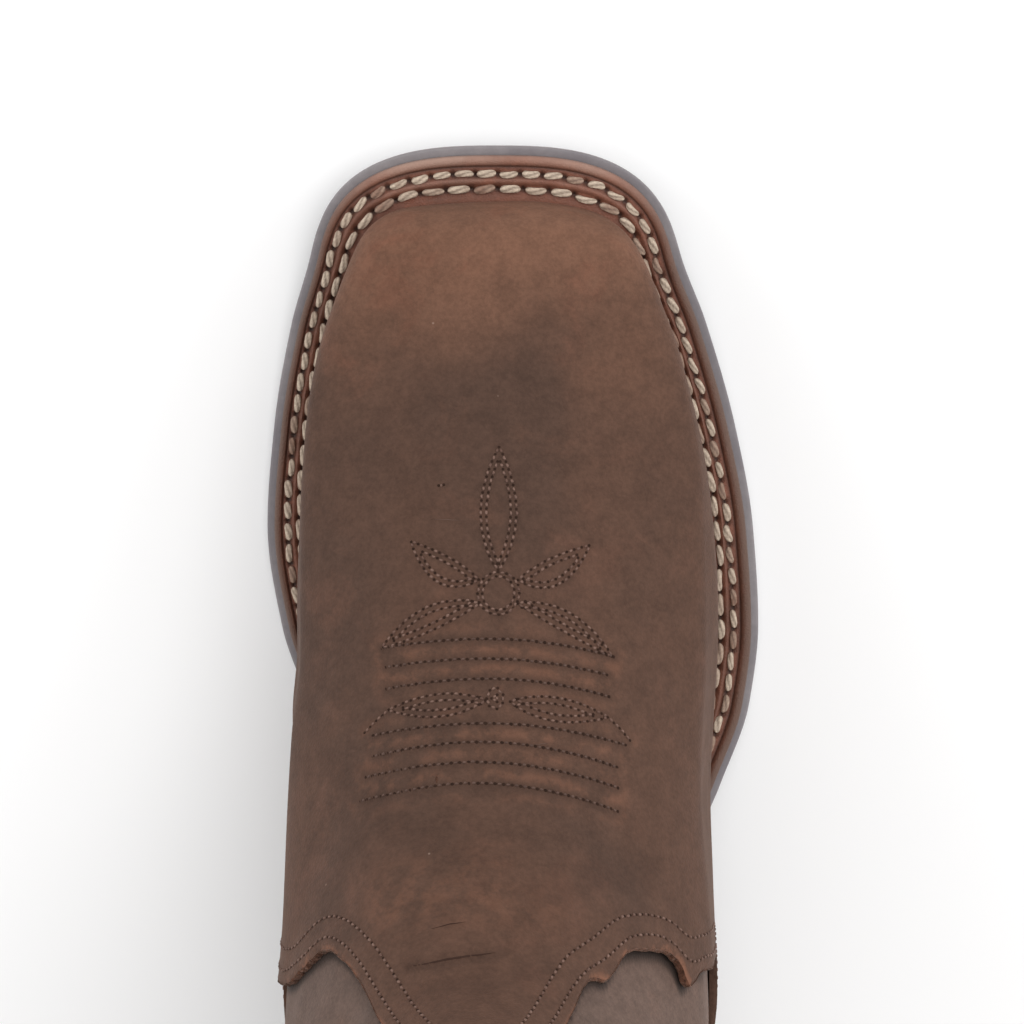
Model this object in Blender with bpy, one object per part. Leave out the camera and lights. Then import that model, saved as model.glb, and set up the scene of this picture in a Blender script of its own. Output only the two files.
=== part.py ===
"""A right western boot with a broad square toe: outsole, welt, stacked heel, hollow upper and overlays.

The boot stands on the floor at z = 0 with its toe towards -Y and its inner side towards +X. The origin is
under the middle of the heel. Run it with: blender --background --python part.py
"""

from collections import namedtuple

import bmesh
import bpy
import numpy as np

MM = 0.001

# Driving sizes of the sole and heel
SOLE_LENGTH = 312 * MM
BALL_WIDTH = 117.5 * MM
HEEL_HEIGHT = 38 * MM
HEEL_LENGTH = 71 * MM
TOE_SPRING = 11.5 * MM
OUTSOLE = 6 * MM
OUTSOLE_BEVEL = 1.2 * MM
WELT = 3.5 * MM
WELT_SET_BACK = 1.3 * MM
WELT_BEVEL = 0.9 * MM
INSOLE = 3 * MM
HEEL_CAP = 7 * MM
HEEL_SET_IN = 0.8 * MM
HEEL_TAPER = 3.5 * MM
HEEL_RAKE = 5 * MM
BREAST_RAKE = 4 * MM

# Driving sizes of the upper
INSTEP_WIDTH = 94 * MM
HEEL_CUP_WIDTH = 69 * MM
THROAT_RISE = 122 * MM
SHAFT_RISE = 154 * MM
COLLAR_CROWN = 22 * MM
SHELL = 2.2 * MM
OVERLAY = 2 * MM
BINDING = 1 * MM
BINDING_DEPTH = 9 * MM
SEAM_WIDTH = 5 * MM
SEAM_HEIGHT = 1.6 * MM
STRAP_WIDTH = 32 * MM
STRAP = 2 * MM
STRAP_DROP = 46 * MM
STRAP_LOOP = 20 * MM
STRAP_BULGE = 3 * MM

# Clearances between pieces that touch on the real boot
GAP = 0.3 * MM
UNDER_GAP = 0.5 * MM
SEAT_GAP = 0.4 * MM
BUTT_GAP = 0.5 * MM

# How finely the solids are faceted
HALF_COLUMNS = 26
HEEL_COLUMNS = 20
EXTRA_LEVELS = (1.5, 2.5, 3.5)

# Half outline of the sole: shares of its length from the back of the heel, and of the ball width to each
# side. inset: how far the feather line lies inside it, a share of the ball width.
SoleRow = namedtuple("SoleRow", "station inner outer inset")
SOLE_ROWS = (
    SoleRow(0.00, 0.296, 0.296, 0.0553),
    SoleRow(0.12, 0.302, 0.302, 0.0553),
    SoleRow(0.24, 0.288, 0.298, 0.0613),
    SoleRow(0.36, 0.262, 0.335, 0.0723),
    SoleRow(0.44, 0.290, 0.395, 0.0851),
    SoleRow(0.50, 0.335, 0.466, 0.1021),
    SoleRow(0.56, 0.392, 0.525, 0.1132),
    SoleRow(0.62, 0.447, 0.543, 0.1174),
    SoleRow(0.70, 0.476, 0.530, 0.1183),
    SoleRow(0.78, 0.460, 0.491, 0.1183),
    SoleRow(0.86, 0.422, 0.430, 0.1217),
    SoleRow(0.92, 0.378, 0.372, 0.1294),
    SoleRow(1.00, 0.350, 0.338, 0.1328),
)
SOLE_TAIL = 36 * MM
SOLE_NOSE = 30 * MM
TAIL_POWER = 2.15
NOSE_POWER = 2.8

# Underside of the outsole from the side: shares of the length, of the heel height and of the toe spring
PitchRow = namedtuple("PitchRow", "station heel toe")
PITCH_ROWS = (
    PitchRow(0.000, 1.00, 0.0),
    PitchRow(0.120, 0.98, 0.0),
    PitchRow(0.230, 0.90, 0.0),
    PitchRow(0.320, 0.70, 0.0),
    PitchRow(0.417, 0.40, 0.0),
    PitchRow(0.497, 0.165, 0.0),
    PitchRow(0.560, 0.035, 0.0),
    PitchRow(0.603, 0.0, 0.0),
    PitchRow(0.785, 0.0, 0.0),
    PitchRow(0.835, 0.0, 0.08),
    PitchRow(0.900, 0.0, 0.33),
    PitchRow(0.960, 0.0, 0.71),
    PitchRow(1.000, 0.0, 1.0),
)

# Levels of the upper, closed rounds from the feather line at the sole up to the collar.
# follow: how far the round follows the sole's pitch; feather: how far it keeps the feather line's outline;
# back, front, tail and nose: shares of the sole length; rises: 0 to 1 up to the throat, 1 to 2 up the shaft;
# heel: share of the heel cup's width; waist: of the instep's; ball and toe: of the ball's, all to each side;
# square: how square the nose is; lean: how far the ridge lies to the inner side, of the ball width;
# crown: how far the round arches up between its back and its front, of the collar's crown.
Level = namedtuple(
    "Level",
    "follow feather back back_rise front front_rise heel waist ball toe tail nose square lean crown",
)
LEVEL_ROWS = (
    (1.00, 1.00, 0.0208, 0.000, 0.950, 0.000, 0.470, 0.400, 0.400, 0.320, 0.110, 0.095, 2.80, 0.000, 0.00),
    (1.00, 1.00, 0.0208, 0.031, 0.950, 0.031, 0.470, 0.400, 0.400, 0.320, 0.110, 0.095, 2.80, 0.000, 0.00),
    (1.00, 0.60, 0.0150, 0.090, 0.949, 0.095, 0.490, 0.460, 0.415, 0.335, 0.110, 0.098, 2.70, 0.000, 0.00),
    (1.00, 0.25, 0.0105, 0.155, 0.941, 0.158, 0.495, 0.495, 0.418, 0.330, 0.110, 0.106, 2.58, 0.002, 0.00),
    (1.00, 0.00, 0.0085, 0.215, 0.924, 0.210, 0.497, 0.508, 0.416, 0.320, 0.110, 0.121, 2.40, 0.004, 0.00),
    (1.00, 0.00, 0.0085, 0.270, 0.896, 0.250, 0.497, 0.512, 0.409, 0.318, 0.110, 0.152, 2.22, 0.008, 0.00),
    (0.96, 0.00, 0.0100, 0.325, 0.856, 0.292, 0.495, 0.513, 0.399, 0.320, 0.112, 0.200, 2.12, 0.014, 0.00),
    (0.88, 0.00, 0.0130, 0.385, 0.802, 0.337, 0.492, 0.512, 0.390, 0.322, 0.115, 0.255, 2.06, 0.022, 0.00),
    (0.75, 0.00, 0.0165, 0.445, 0.742, 0.366, 0.490, 0.509, 0.386, 0.324, 0.118, 0.295, 2.04, 0.030, 0.00),
    (0.60, 0.00, 0.0205, 0.505, 0.681, 0.398, 0.490, 0.506, 0.385, 0.325, 0.122, 0.315, 2.04, 0.037, 0.00),
    (0.45, 0.00, 0.0245, 0.570, 0.619, 0.445, 0.493, 0.503, 0.385, 0.325, 0.128, 0.318, 2.06, 0.042, 0.00),
    (0.30, 0.00, 0.0285, 0.640, 0.561, 0.512, 0.500, 0.500, 0.382, 0.325, 0.138, 0.305, 2.08, 0.045, 0.00),
    (0.18, 0.00, 0.0320, 0.720, 0.512, 0.605, 0.512, 0.497, 0.378, 0.325, 0.152, 0.285, 2.10, 0.045, 0.00),
    (0.08, 0.00, 0.0335, 0.800, 0.472, 0.722, 0.530, 0.492, 0.373, 0.325, 0.170, 0.268, 2.10, 0.043, 0.00),
    (0.00, 0.00, 0.0335, 0.885, 0.445, 0.855, 0.550, 0.487, 0.368, 0.325, 0.188, 0.255, 2.10, 0.038, 0.00),
    (0.00, 0.00, 0.0315, 1.000, 0.436, 1.000, 0.575, 0.481, 0.362, 0.320, 0.205, 0.248, 2.10, 0.032, 0.00),
    (0.00, 0.00, 0.0250, 1.170, 0.439, 1.170, 0.600, 0.476, 0.355, 0.320, 0.220, 0.244, 2.10, 0.022, 0.02),
    (0.00, 0.00, 0.0140, 1.380, 0.450, 1.380, 0.622, 0.474, 0.350, 0.320, 0.232, 0.242, 2.12, 0.012, 0.08),
    (0.00, 0.00, 0.0010, 1.610, 0.464, 1.610, 0.640, 0.478, 0.350, 0.320, 0.240, 0.242, 2.15, 0.005, 0.28),
    (0.00, 0.00, -0.0110, 1.830, 0.478, 1.830, 0.650, 0.482, 0.350, 0.320, 0.246, 0.244, 2.15, 0.000, 0.66),
    (0.00, 0.00, -0.0190, 2.000, 0.488, 2.000, 0.655, 0.484, 0.350, 0.320, 0.250, 0.246, 2.15, 0.000, 1.00),
)
LEVELS = [Level(*row) for row in LEVEL_ROWS]
WIDTH_STATIONS = (0.115, 0.370, 0.640, 0.880)

# What each side of the foot gains on an even last, shares of the ball width
SideRow = namedtuple("SideRow", "station inner outer")
SIDE_ROWS = (
    SideRow(0.00, 0.000, 0.000),
    SideRow(0.24, 0.002, -0.002),
    SideRow(0.37, -0.004, 0.014),
    SideRow(0.45, -0.016, 0.005),
    SideRow(0.52, -0.020, -0.002),
    SideRow(0.57, -0.023, 0.004),
    SideRow(0.62, -0.034, 0.011),
    SideRow(0.70, -0.026, 0.010),
    SideRow(0.76, -0.011, 0.013),
    SideRow(0.82, 0.002, 0.014),
    SideRow(0.90, 0.008, 0.013),
    SideRow(1.00, 0.003, -0.003),
)
SIDE_FADE = 2.2
CROWN_POWER = 2.4

# Edges of the leather overlays: the level that each edge reaches, against its place round half the boot,
# from 0 at the back to 1 at the front
EdgeRow = namedtuple("EdgeRow", "share level")
VAMP_EDGE = (
    EdgeRow(0.360, 4.0),
    EdgeRow(0.420, 4.9),
    EdgeRow(0.470, 6.1),
    EdgeRow(0.520, 7.5),
    EdgeRow(0.580, 9.0),
    EdgeRow(0.650, 10.2),
    EdgeRow(0.710, 10.9),
    EdgeRow(0.775, 11.6),
    EdgeRow(0.810, 12.1),
    EdgeRow(0.850, 12.8),
    EdgeRow(0.885, 13.9),
    EdgeRow(0.915, 14.8),
    EdgeRow(0.945, 15.4),
    EdgeRow(1.000, 15.8),
)
COUNTER_EDGE = (
    EdgeRow(0.000, 11.6),
    EdgeRow(0.050, 10.9),
    EdgeRow(0.120, 9.9),
    EdgeRow(0.200, 8.8),
    EdgeRow(0.270, 7.0),
    EdgeRow(0.320, 5.2),
    EdgeRow(0.360, 4.0),
)
SIDE_SHARE = 0.360
SEAM_START = 5.0
COLLAR_SHARE = 0.5
WALL_LEVEL = 1

# Colours of the materials, linear red, green, blue
BROWN_LEATHER = (0.105, 0.060, 0.044)
DARK_BROWN_LEATHER = (0.090, 0.055, 0.043)
WELT_BROWN = (0.235, 0.105, 0.062)
INSOLE_TAN = (0.330, 0.215, 0.130)
STACK_BROWN = (0.120, 0.060, 0.035)
SOLE_GREY = (0.120, 0.108, 0.110)
CAP_BLACK = (0.030, 0.028, 0.028)

DENSE = 500


def curve(places, values):
    """A smooth curve through the values that never overshoots them, as a function of the place."""
    places = np.asarray(places, float)
    values = np.asarray(values, float)
    steps = np.diff(places)
    slopes = np.diff(values) / steps
    before, after = slopes[:-1], slopes[1:]
    same_way = before * after > 0
    total = np.where(same_way, before + after, 1)
    tangents = np.concatenate([slopes[:1], np.where(same_way, 2 * before * after / total, 0), slopes[-1:]])

    def value(place):
        place = np.clip(place, places[0], places[-1])
        k = np.clip(np.searchsorted(places, place, side="right") - 1, 0, len(steps) - 1)
        t = (place - places[k]) / steps[k]
        rise = (3 - 2 * t) * t * t
        bend = t * (1 - t) * steps[k] * ((1 - t) * tangents[k] - t * tangents[k + 1])
        return values[k] * (1 - rise) + values[k + 1] * rise + bend

    return value


def column(rows, name, unit=1.0):
    """One named column of a table, times the size that it is a share of."""
    return np.array([getattr(row, name) for row in rows]) * unit


sole_inner = curve(column(SOLE_ROWS, "station", SOLE_LENGTH), column(SOLE_ROWS, "inner", BALL_WIDTH))
sole_outer = curve(column(SOLE_ROWS, "station", SOLE_LENGTH), column(SOLE_ROWS, "outer", BALL_WIDTH))
side_gain = {
    1: curve(column(SIDE_ROWS, "station", SOLE_LENGTH), column(SIDE_ROWS, "inner", BALL_WIDTH)),
    -1: curve(column(SIDE_ROWS, "station", SOLE_LENGTH), column(SIDE_ROWS, "outer", BALL_WIDTH)),
}
feather_inset = curve(column(SOLE_ROWS, "station", SOLE_LENGTH), column(SOLE_ROWS, "inset", BALL_WIDTH))
sole_underside = curve(
    column(PITCH_ROWS, "station", SOLE_LENGTH),
    column(PITCH_ROWS, "heel", HEEL_HEIGHT) + column(PITCH_ROWS, "toe", TOE_SPRING),
)


def sole_top(station):
    return sole_underside(station) + OUTSOLE


def feather_height(station):
    return sole_top(station) + SEAT_GAP


def rounded_ends(station, back, front, tail, nose, tail_power, nose_power):
    """1 along the middle of an outline, falling to 0 at its back and front as a superellipse does."""
    behind = np.clip((back + tail - station) / tail, 0, 1)
    ahead = np.clip((station - front + nose) / nose, 0, 1)
    return (1 - behind**tail_power) ** (1 / tail_power) * (1 - ahead**nose_power) ** (1 / nose_power)


def crowded(back, front):
    """Stations from back to front, close together at both ends where the outline turns."""
    turn = np.linspace(0, np.pi, DENSE)
    return back + (front - back) * (1 - np.cos(turn)) / 2


def spread(line, shares):
    """Points at those shares of the line's length."""
    reach = np.concatenate([[0], np.cumsum(np.linalg.norm(np.diff(line[:, :2], axis=0), axis=1))])
    return np.column_stack([np.interp(shares * reach[-1], reach, line[:, k]) for k in range(line.shape[1])])


def round_of(inner, outer):
    """A closed round from its two halves, each given from the back to the front."""
    return np.vstack([inner, outer[-2:0:-1]])


def sole_half(side):
    """Half the sole's outline as (station, x) points, from the back to the toe; side is 1 inner or -1 outer."""
    station = crowded(0, SOLE_LENGTH)
    width = (sole_inner if side > 0 else sole_outer)(station)
    width = width * rounded_ends(station, 0, SOLE_LENGTH, SOLE_TAIL, SOLE_NOSE, TAIL_POWER, NOSE_POWER)
    return np.column_stack([station, side * width])


def inset_half(side, inset):
    """Half the sole's outline moved in by inset, a function of the station."""
    line = sole_half(side)
    along = np.gradient(line, axis=0)
    along[0] = (0, side)
    along[-1] = (0, -side)
    along /= np.linalg.norm(along, axis=1)[:, None]
    inward = np.column_stack([along[:, 1], -along[:, 0]]) * side
    moved = line + inward * inset(line[:, 0])[:, None]
    moved[[0, -1], 1] = 0
    return moved


def even(size):
    """The same size at every station."""
    return lambda station: np.full_like(station, size)


def crowd_shares(count):
    """Shares of half a round, closer together at the heel and at the corner of the toe."""
    place = np.linspace(0, 1, DENSE)
    density = 1 + 0.7 * np.exp(-((place / 0.15) ** 2)) + 1.6 * np.exp(-(((place - 0.885) / 0.07) ** 2))
    sums = np.concatenate([[0], np.cumsum((density[1:] + density[:-1]) / 2)])
    return np.interp(np.linspace(0, 1, count + 1), sums / sums[-1], place)


level_curves = {
    name: curve(np.arange(len(LEVELS)), column(LEVELS, name)) for name in Level._fields
}


def rise_height(rise):
    return THROAT_RISE * np.minimum(rise, 1) + SHAFT_RISE * np.maximum(rise - 1, 0)


def level_half(level, side, shares):
    """Half a level of the upper's shell as (station, x, z) points from the back to the front."""
    row = Level(*(level_curves[name](level) for name in Level._fields))
    back, front = row.back * SOLE_LENGTH, row.front * SOLE_LENGTH
    station = crowded(back, front)
    shares_of = (HEEL_CUP_WIDTH, INSTEP_WIDTH, BALL_WIDTH, BALL_WIDTH)
    widths = np.multiply((row.heel, row.waist, row.ball, row.toe), shares_of)
    width = curve(np.array(WIDTH_STATIONS) * SOLE_LENGTH, widths)(station)
    width = width + min(1, SIDE_FADE * row.follow) * side_gain[side](station)
    tail, nose = row.tail * SOLE_LENGTH, row.nose * SOLE_LENGTH
    width = width * rounded_ends(station, back, front, tail, nose, TAIL_POWER, row.square)
    along = (station - back) / (front - back)
    free = spread(np.column_stack([station, side * width + row.lean * BALL_WIDTH * along**2]), shares)
    kept = spread(inset_half(side, feather_inset), shares)
    plan = kept * row.feather + free * (1 - row.feather)
    along = np.clip((plan[:, 0] - back) / (front - back), 0, 1)
    rise = rise_height(row.back_rise) * (1 - along) + rise_height(row.front_rise) * along
    crown = row.crown * COLLAR_CROWN * (1 - np.abs(2 * along - 1) ** CROWN_POWER)
    base = row.follow * feather_height(plan[:, 0]) + (1 - row.follow) * feather_height(0)
    return np.column_stack([plan, base + rise + crown])


def placed(points):
    """Points given as (station, x, z) in the boot's frame: toe towards -Y, origin under the heel's middle."""
    points = np.asarray(points, float)
    return np.stack([points[..., 1], HEEL_LENGTH / 2 - points[..., 0], points[..., 2]], axis=-1)


class Skin:
    """The outer face of the upper's shell: rounds of points at each level, with a normal at each point."""

    def __init__(self, levels, shares):
        self.levels = levels
        self.shares = shares
        self.half = len(shares) - 1
        rounds = [round_of(level_half(v, 1, shares), level_half(v, -1, shares)) for v in levels]
        self.points = placed(rounds)
        around = np.roll(self.points, -1, axis=1) - np.roll(self.points, 1, axis=1)
        upward = np.gradient(self.points, axis=0)
        normals = np.cross(upward, around)
        normals[np.asarray(levels) <= WALL_LEVEL, :, 2] = 0
        self.normals = normals / np.linalg.norm(normals, axis=2)[:, :, None]

    def place(self, share, side):
        """The column, a whole number or between two, at that share of the inner (1) or outer (-1) half."""
        column_place = np.interp(share, self.shares, np.arange(self.half + 1))
        return column_place if side > 0 else 2 * self.half - column_place

    def at(self, level, place, offset):
        """The point at that level and column, offset outwards."""
        v = np.interp(level, self.levels, np.arange(len(self.levels)))
        i, j = int(min(v, len(self.levels) - 2)), int(np.floor(place))
        a, b = v - i, place - j
        count = self.points.shape[1]
        corners = (
            ((1 - a) * (1 - b), i, j % count),
            ((1 - a) * b, i, (j + 1) % count),
            (a * (1 - b), i + 1, j % count),
            (a * b, i + 1, (j + 1) % count),
        )
        return sum(w * (self.points[r, c] + offset * self.normals[r, c]) for w, r, c in corners)


def material(name, colour, roughness):
    made = bpy.data.materials.new(name)
    made.use_nodes = True
    shader = made.node_tree.nodes["Principled BSDF"]
    shader.inputs["Base Color"].default_value = (*colour, 1)
    shader.inputs["Roughness"].default_value = roughness
    made.diffuse_color = (*colour, 1)
    return made


def solid(name, points, faces, finish, sharp=0.6):
    """A named object from points and faces, with coincident points joined and its faces pointing out."""
    mesh = bpy.data.meshes.new(name)
    mesh.from_pydata([tuple(p) for p in points], [], faces)
    work = bmesh.new()
    work.from_mesh(mesh)
    bmesh.ops.remove_doubles(work, verts=work.verts, dist=1e-6)
    bmesh.ops.dissolve_degenerate(work, edges=work.edges, dist=1e-7)
    bmesh.ops.triangulate(work, faces=work.faces, quad_method="FIXED")
    bmesh.ops.recalc_face_normals(work, faces=work.faces)
    work.to_mesh(mesh)
    work.free()
    mesh.shade_smooth()
    mesh.set_sharp_from_angle(angle=sharp)
    mesh.materials.append(finish)
    made = bpy.data.objects.new(name, mesh)
    bpy.context.scene.collection.objects.link(made)
    return made


def round_faces(rounds, count, closed):
    """Faces between rounds of points; closed also joins the last round to the first."""
    faces = []
    for r in range(rounds if closed else rounds - 1):
        a, b = r * count, (r + 1) % rounds * count
        for c in range(count):
            d = (c + 1) % count
            faces.append((a + c, a + d, b + d, b + c))
    return faces


def cap_faces(first, count):
    """Faces that close a round straight across from its inner half to its outer half."""
    half = count // 2
    faces = [(first, first + 1, first + count - 1)]
    for c in range(1, half - 1):
        faces.append((first + c, first + c + 1, first + count - c - 1, first + count - c))
    faces.append((first + half - 1, first + half, first + half + 1))
    return faces


def ring_solid(name, rounds, finish):
    """A hollow piece whose section is the path from the first round to the last and back to the first."""
    rounds = np.asarray(rounds)
    return solid(name, rounds.reshape(-1, 3), round_faces(len(rounds), rounds.shape[1], True), finish)


def slab_solid(name, rounds, finish):
    """A full piece from its lowest round to its highest, closed straight across at both."""
    rounds = np.asarray(rounds)
    count = rounds.shape[1]
    faces = round_faces(len(rounds), count, False)
    faces += cap_faces(0, count) + cap_faces((len(rounds) - 1) * count, count)
    return solid(name, rounds.reshape(-1, 3), faces, finish)


def sheet_solid(name, outer, inner, finish):
    """A piece of sheet between two grids of points, with a rim on its four sides."""
    outer, inner = np.asarray(outer), np.asarray(inner)
    rows, columns = outer.shape[:2]
    step = rows * columns
    faces = []
    for r in range(rows - 1):
        for c in range(columns - 1):
            a, b = r * columns + c, (r + 1) * columns + c
            faces.append((a, a + 1, b + 1, b))
            faces.append((step + a, step + a + 1, step + b + 1, step + b))
    border = list(range(columns))
    border += [r * columns + columns - 1 for r in range(1, rows)]
    border += [(rows - 1) * columns + c for c in range(columns - 2, -1, -1)]
    border += [r * columns for r in range(rows - 2, 0, -1)]
    for a, b in zip(border, border[1:] + border[:1]):
        faces.append((a, b, step + b, step + a))
    return solid(name, np.vstack([outer.reshape(-1, 3), inner.reshape(-1, 3)]), faces, finish)


def sole_round(inset, height, shares):
    """A round at that inset from the sole's outline, at a height given as a function of the station."""
    halves = [spread(inset_half(side, even(inset)), shares) for side in (1, -1)]
    plan = round_of(*halves)
    return placed(np.column_stack([plan, height(plan[:, 0])]))


def make_outsole(shares, finish):
    rounds = [
        sole_round(OUTSOLE_BEVEL, sole_underside, shares),
        sole_round(0, lambda p: sole_underside(p) + OUTSOLE_BEVEL, shares),
        sole_round(0, lambda p: sole_top(p) - OUTSOLE_BEVEL / 2, shares),
        sole_round(OUTSOLE_BEVEL / 2, sole_top, shares),
    ]
    return slab_solid("outsole", rounds, finish)


def make_welt(skin, finish):
    inner = skin.points[0] + GAP * skin.normals[0]
    lift = np.array((0, 0, WELT))
    outer = WELT_SET_BACK + OUTSOLE_BEVEL / 2
    rounds = [
        sole_round(outer, lambda p: feather_height(p), skin.shares),
        sole_round(outer, lambda p: feather_height(p) + WELT - WELT_BEVEL, skin.shares),
        sole_round(outer + WELT_BEVEL, lambda p: feather_height(p) + WELT, skin.shares),
        inner + lift,
        inner,
    ]
    return ring_solid("welt", rounds, finish)


def make_insole(skin, finish):
    edge = skin.points[0] - (SHELL + GAP) * skin.normals[0]
    return slab_solid("insole", [edge, edge + np.array((0, 0, INSOLE))], finish)


def make_upper(skin, finish):
    inner = skin.points - SHELL * skin.normals
    return ring_solid("upper", np.concatenate([skin.points, inner[::-1]]), finish)


def edge_curve(rows):
    """The level that an overlay's edge reaches, as a function of the share of half the round."""
    return curve(column(rows, "share"), column(rows, "level"))


def below_edge(corners, left, right):
    """The part of a cell of the skin below a straight edge that runs from its left top to its right top."""
    start, end = corners[0][0], corners[1][0]

    def spare(corner):
        return left + (right - left) * (corner[0] - start) / (end - start) - corner[1]

    kept = []
    for a, b in zip(corners, corners[1:] + corners[:1]):
        if spare(a) >= 0:
            kept.append(a)
        if spare(a) * spare(b) < 0:
            t = spare(a) / (spare(a) - spare(b))
            kept.append((a[0] + t * (b[0] - a[0]), a[1] + t * (b[1] - a[1])))
    return kept


def overlay(name, skin, places, edge_levels, finish):
    """A piece of leather laid on the shell from the welt up to its own edge."""
    levels = [v for v in skin.levels if v >= WALL_LEVEL]
    corners, faces, index = [], [], {}
    for k in range(len(places) - 1):
        for low, high in zip(levels, levels[1:]):
            cell = [(places[k], low), (places[k + 1], low), (places[k + 1], high), (places[k], high)]
            face = []
            for corner in below_edge(cell, edge_levels[k], edge_levels[k + 1]):
                key = (round(corner[0], 5), round(corner[1], 5))
                if key not in index:
                    index[key] = len(corners)
                    corners.append(corner)
                if index[key] not in face:
                    face.append(index[key])
            if len(face) > 2:
                faces.append(face)
    outer = [skin.at(level, place, UNDER_GAP + OVERLAY) for place, level in corners]
    inner = [skin.at(level, place, UNDER_GAP) for place, level in corners]
    for point, (place, level) in zip(outer + inner, corners * 2):
        if level == levels[0]:
            point[2] = max(point[2], feather_height(HEEL_LENGTH / 2 - point[1]) + WELT + GAP)
    step = len(corners)
    sides = [(a, b) for face in faces for a, b in zip(face, face[1:] + face[:1])]
    rim = [(b, a, step + a, step + b) for a, b in sides if (b, a) not in set(sides)]
    faces += [[step + v for v in face[:1] + face[:0:-1]] for face in faces]
    return solid(name, outer + inner, faces + rim, finish)


def butt_place(skin, to_front):
    """The column where the vamp (to_front 1) or the counter (to_front -1) ends at the side of the boot."""
    place = skin.place(SIDE_SHARE, 1)
    spacing = np.linalg.norm(skin.at(WALL_LEVEL, place + 1, 0) - skin.at(WALL_LEVEL, place, 0))
    return place + to_front * BUTT_GAP / 2 / spacing


def overlay_between(name, skin, start, end, rows, finish):
    """An overlay from one column to another, with its edge from a table."""
    edge = edge_curve(rows)
    places = [start] + [p for p in range(-skin.half, 2 * skin.half) if start + 0.3 < p < end - 0.3] + [end]
    halfway = [min(abs(p), 2 * skin.half - abs(p)) for p in places]
    shares = np.interp(halfway, np.arange(skin.half + 1), skin.shares)
    return overlay(name, skin, places, [float(edge(share)) for share in shares], finish)


def make_vamp(skin, finish):
    start = butt_place(skin, 1)
    return overlay_between("vamp", skin, start, 2 * skin.half - start, VAMP_EDGE, finish)


def make_counter(skin, finish):
    end = butt_place(skin, -1)
    return overlay_between("heel_counter", skin, -end, end, COUNTER_EDGE, finish)


def make_side_seam(name, skin, side, finish):
    """The raised seam that joins the front and back panels of the shaft."""
    top, below = skin.levels[-1], skin.levels[-2]
    place = skin.place(COLLAR_SHARE, side)
    reach = np.linalg.norm(skin.at(top, place, 0) - skin.at(below, place, 0))
    last = top - (top - below) * (BINDING_DEPTH + 2 * GAP) / reach
    levels = [SEAM_START] + [v for v in skin.levels if SEAM_START + 0.1 < v < last - 0.1] + [last]
    outer, inner = [], []
    for level in levels:
        t = np.clip((level - WALL_LEVEL) / (top - 1 - WALL_LEVEL), 0, 1)
        share = SIDE_SHARE + (COLLAR_SHARE - SIDE_SHARE) * t * t * (3 - 2 * t)
        place = skin.place(share, side)
        spacing = np.linalg.norm(skin.at(level, place + 1, 0) - skin.at(level, place, 0))
        across = [place + k * SEAM_WIDTH / 2 / spacing for k in (-1, -0.4, 0.4, 1)]
        heights = (0.35, 1, 1, 0.35)
        outer.append([skin.at(level, c, GAP + h * SEAM_HEIGHT) for c, h in zip(across, heights)])
        inner.append([skin.at(level, c, GAP) for c in across])
    return sheet_solid(name, outer, inner, finish)


def make_binding(skin, finish):
    """The leather strip folded over the collar's edge."""
    top, below = skin.points[-1], skin.points[-2]
    down = (below - top) / np.linalg.norm(below - top, axis=1)[:, None]
    normal = skin.normals[-1]
    inner_face = -SHELL
    section = (
        (GAP, BINDING_DEPTH),
        (GAP + BINDING, BINDING_DEPTH),
        (GAP + BINDING, -GAP - 0.4 * BINDING),
        (GAP, -GAP - BINDING),
        (inner_face - GAP, -GAP - BINDING),
        (inner_face - GAP - BINDING, -GAP - 0.4 * BINDING),
        (inner_face - GAP - BINDING, BINDING_DEPTH),
        (inner_face - GAP, BINDING_DEPTH),
        (inner_face - GAP, -GAP),
        (GAP, -GAP),
    )
    rounds = [top + out * normal + depth * down for out, depth in section]
    return ring_solid("collar_binding", rounds, finish)


def make_pull_strap(name, skin, side, finish):
    """A strap that runs up the outside of the collar, over it as a finger loop, and down the inside."""
    place = skin.place(COLLAR_SHARE, side)
    top = skin.levels[-1]
    spacing = np.linalg.norm(skin.at(top, place + 1, 0) - skin.at(top, place, 0))
    outside = GAP + max(SEAM_HEIGHT, BINDING) + 2 * GAP
    inside = -SHELL - GAP - BINDING - GAP
    middle, reach = (outside + inside) / 2, (outside - inside) / 2
    turns = np.linspace(-np.pi / 2, np.pi / 2, 13)
    loop = [(middle + reach * np.sin(a) + STRAP_BULGE * np.sin(2 * a), STRAP_LOOP * np.cos(a)) for a in turns]
    path = np.array([(inside, -STRAP_DROP), *loop, (outside, -STRAP_DROP)])
    along = np.gradient(path, axis=0)
    along[[0, 1]] = (0, 1)
    along[[-2, -1]] = (0, -1)
    along /= np.linalg.norm(along, axis=1)[:, None]
    far_path = path + STRAP * np.column_stack([-along[:, 1], along[:, 0]])
    grids = []
    for line in (far_path, path):
        grid = []
        for across, up in line:
            row = []
            for k in (-1, -0.5, 0, 0.5, 1):
                column_place = place + k * STRAP_WIDTH / 2 / spacing
                start = skin.at(top, column_place, 0)
                rise = start - skin.at(top - 1, column_place, 0)
                out = skin.at(top, column_place, 1) - start
                row.append(start + across * out + up * rise / np.linalg.norm(rise))
            grid.append(row)
        grids.append(grid)
    outer, inner = grids
    return sheet_solid(name, outer, inner, finish)


def heel_round(inset, back_rake, breast_rake, height):
    """A closed round of the heel: the sole's outline behind the breast, moved in, with a straight breast."""
    front = HEEL_LENGTH - breast_rake
    halves = []
    for side in (1, -1):
        line = inset_half(side, even(inset))
        line[:, 0] += back_rake * (1 - line[:, 0] / HEEL_LENGTH)
        line = line[line[:, 0] < front]
        line = np.vstack([line, [front, line[-1, 1]]])
        halves.append(spread(line, np.linspace(0, 1, HEEL_COLUMNS + 1)))
    plan = np.vstack([halves[0], halves[1][:0:-1]])
    return placed(np.column_stack([plan, height(plan[:, 0])]))


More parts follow.
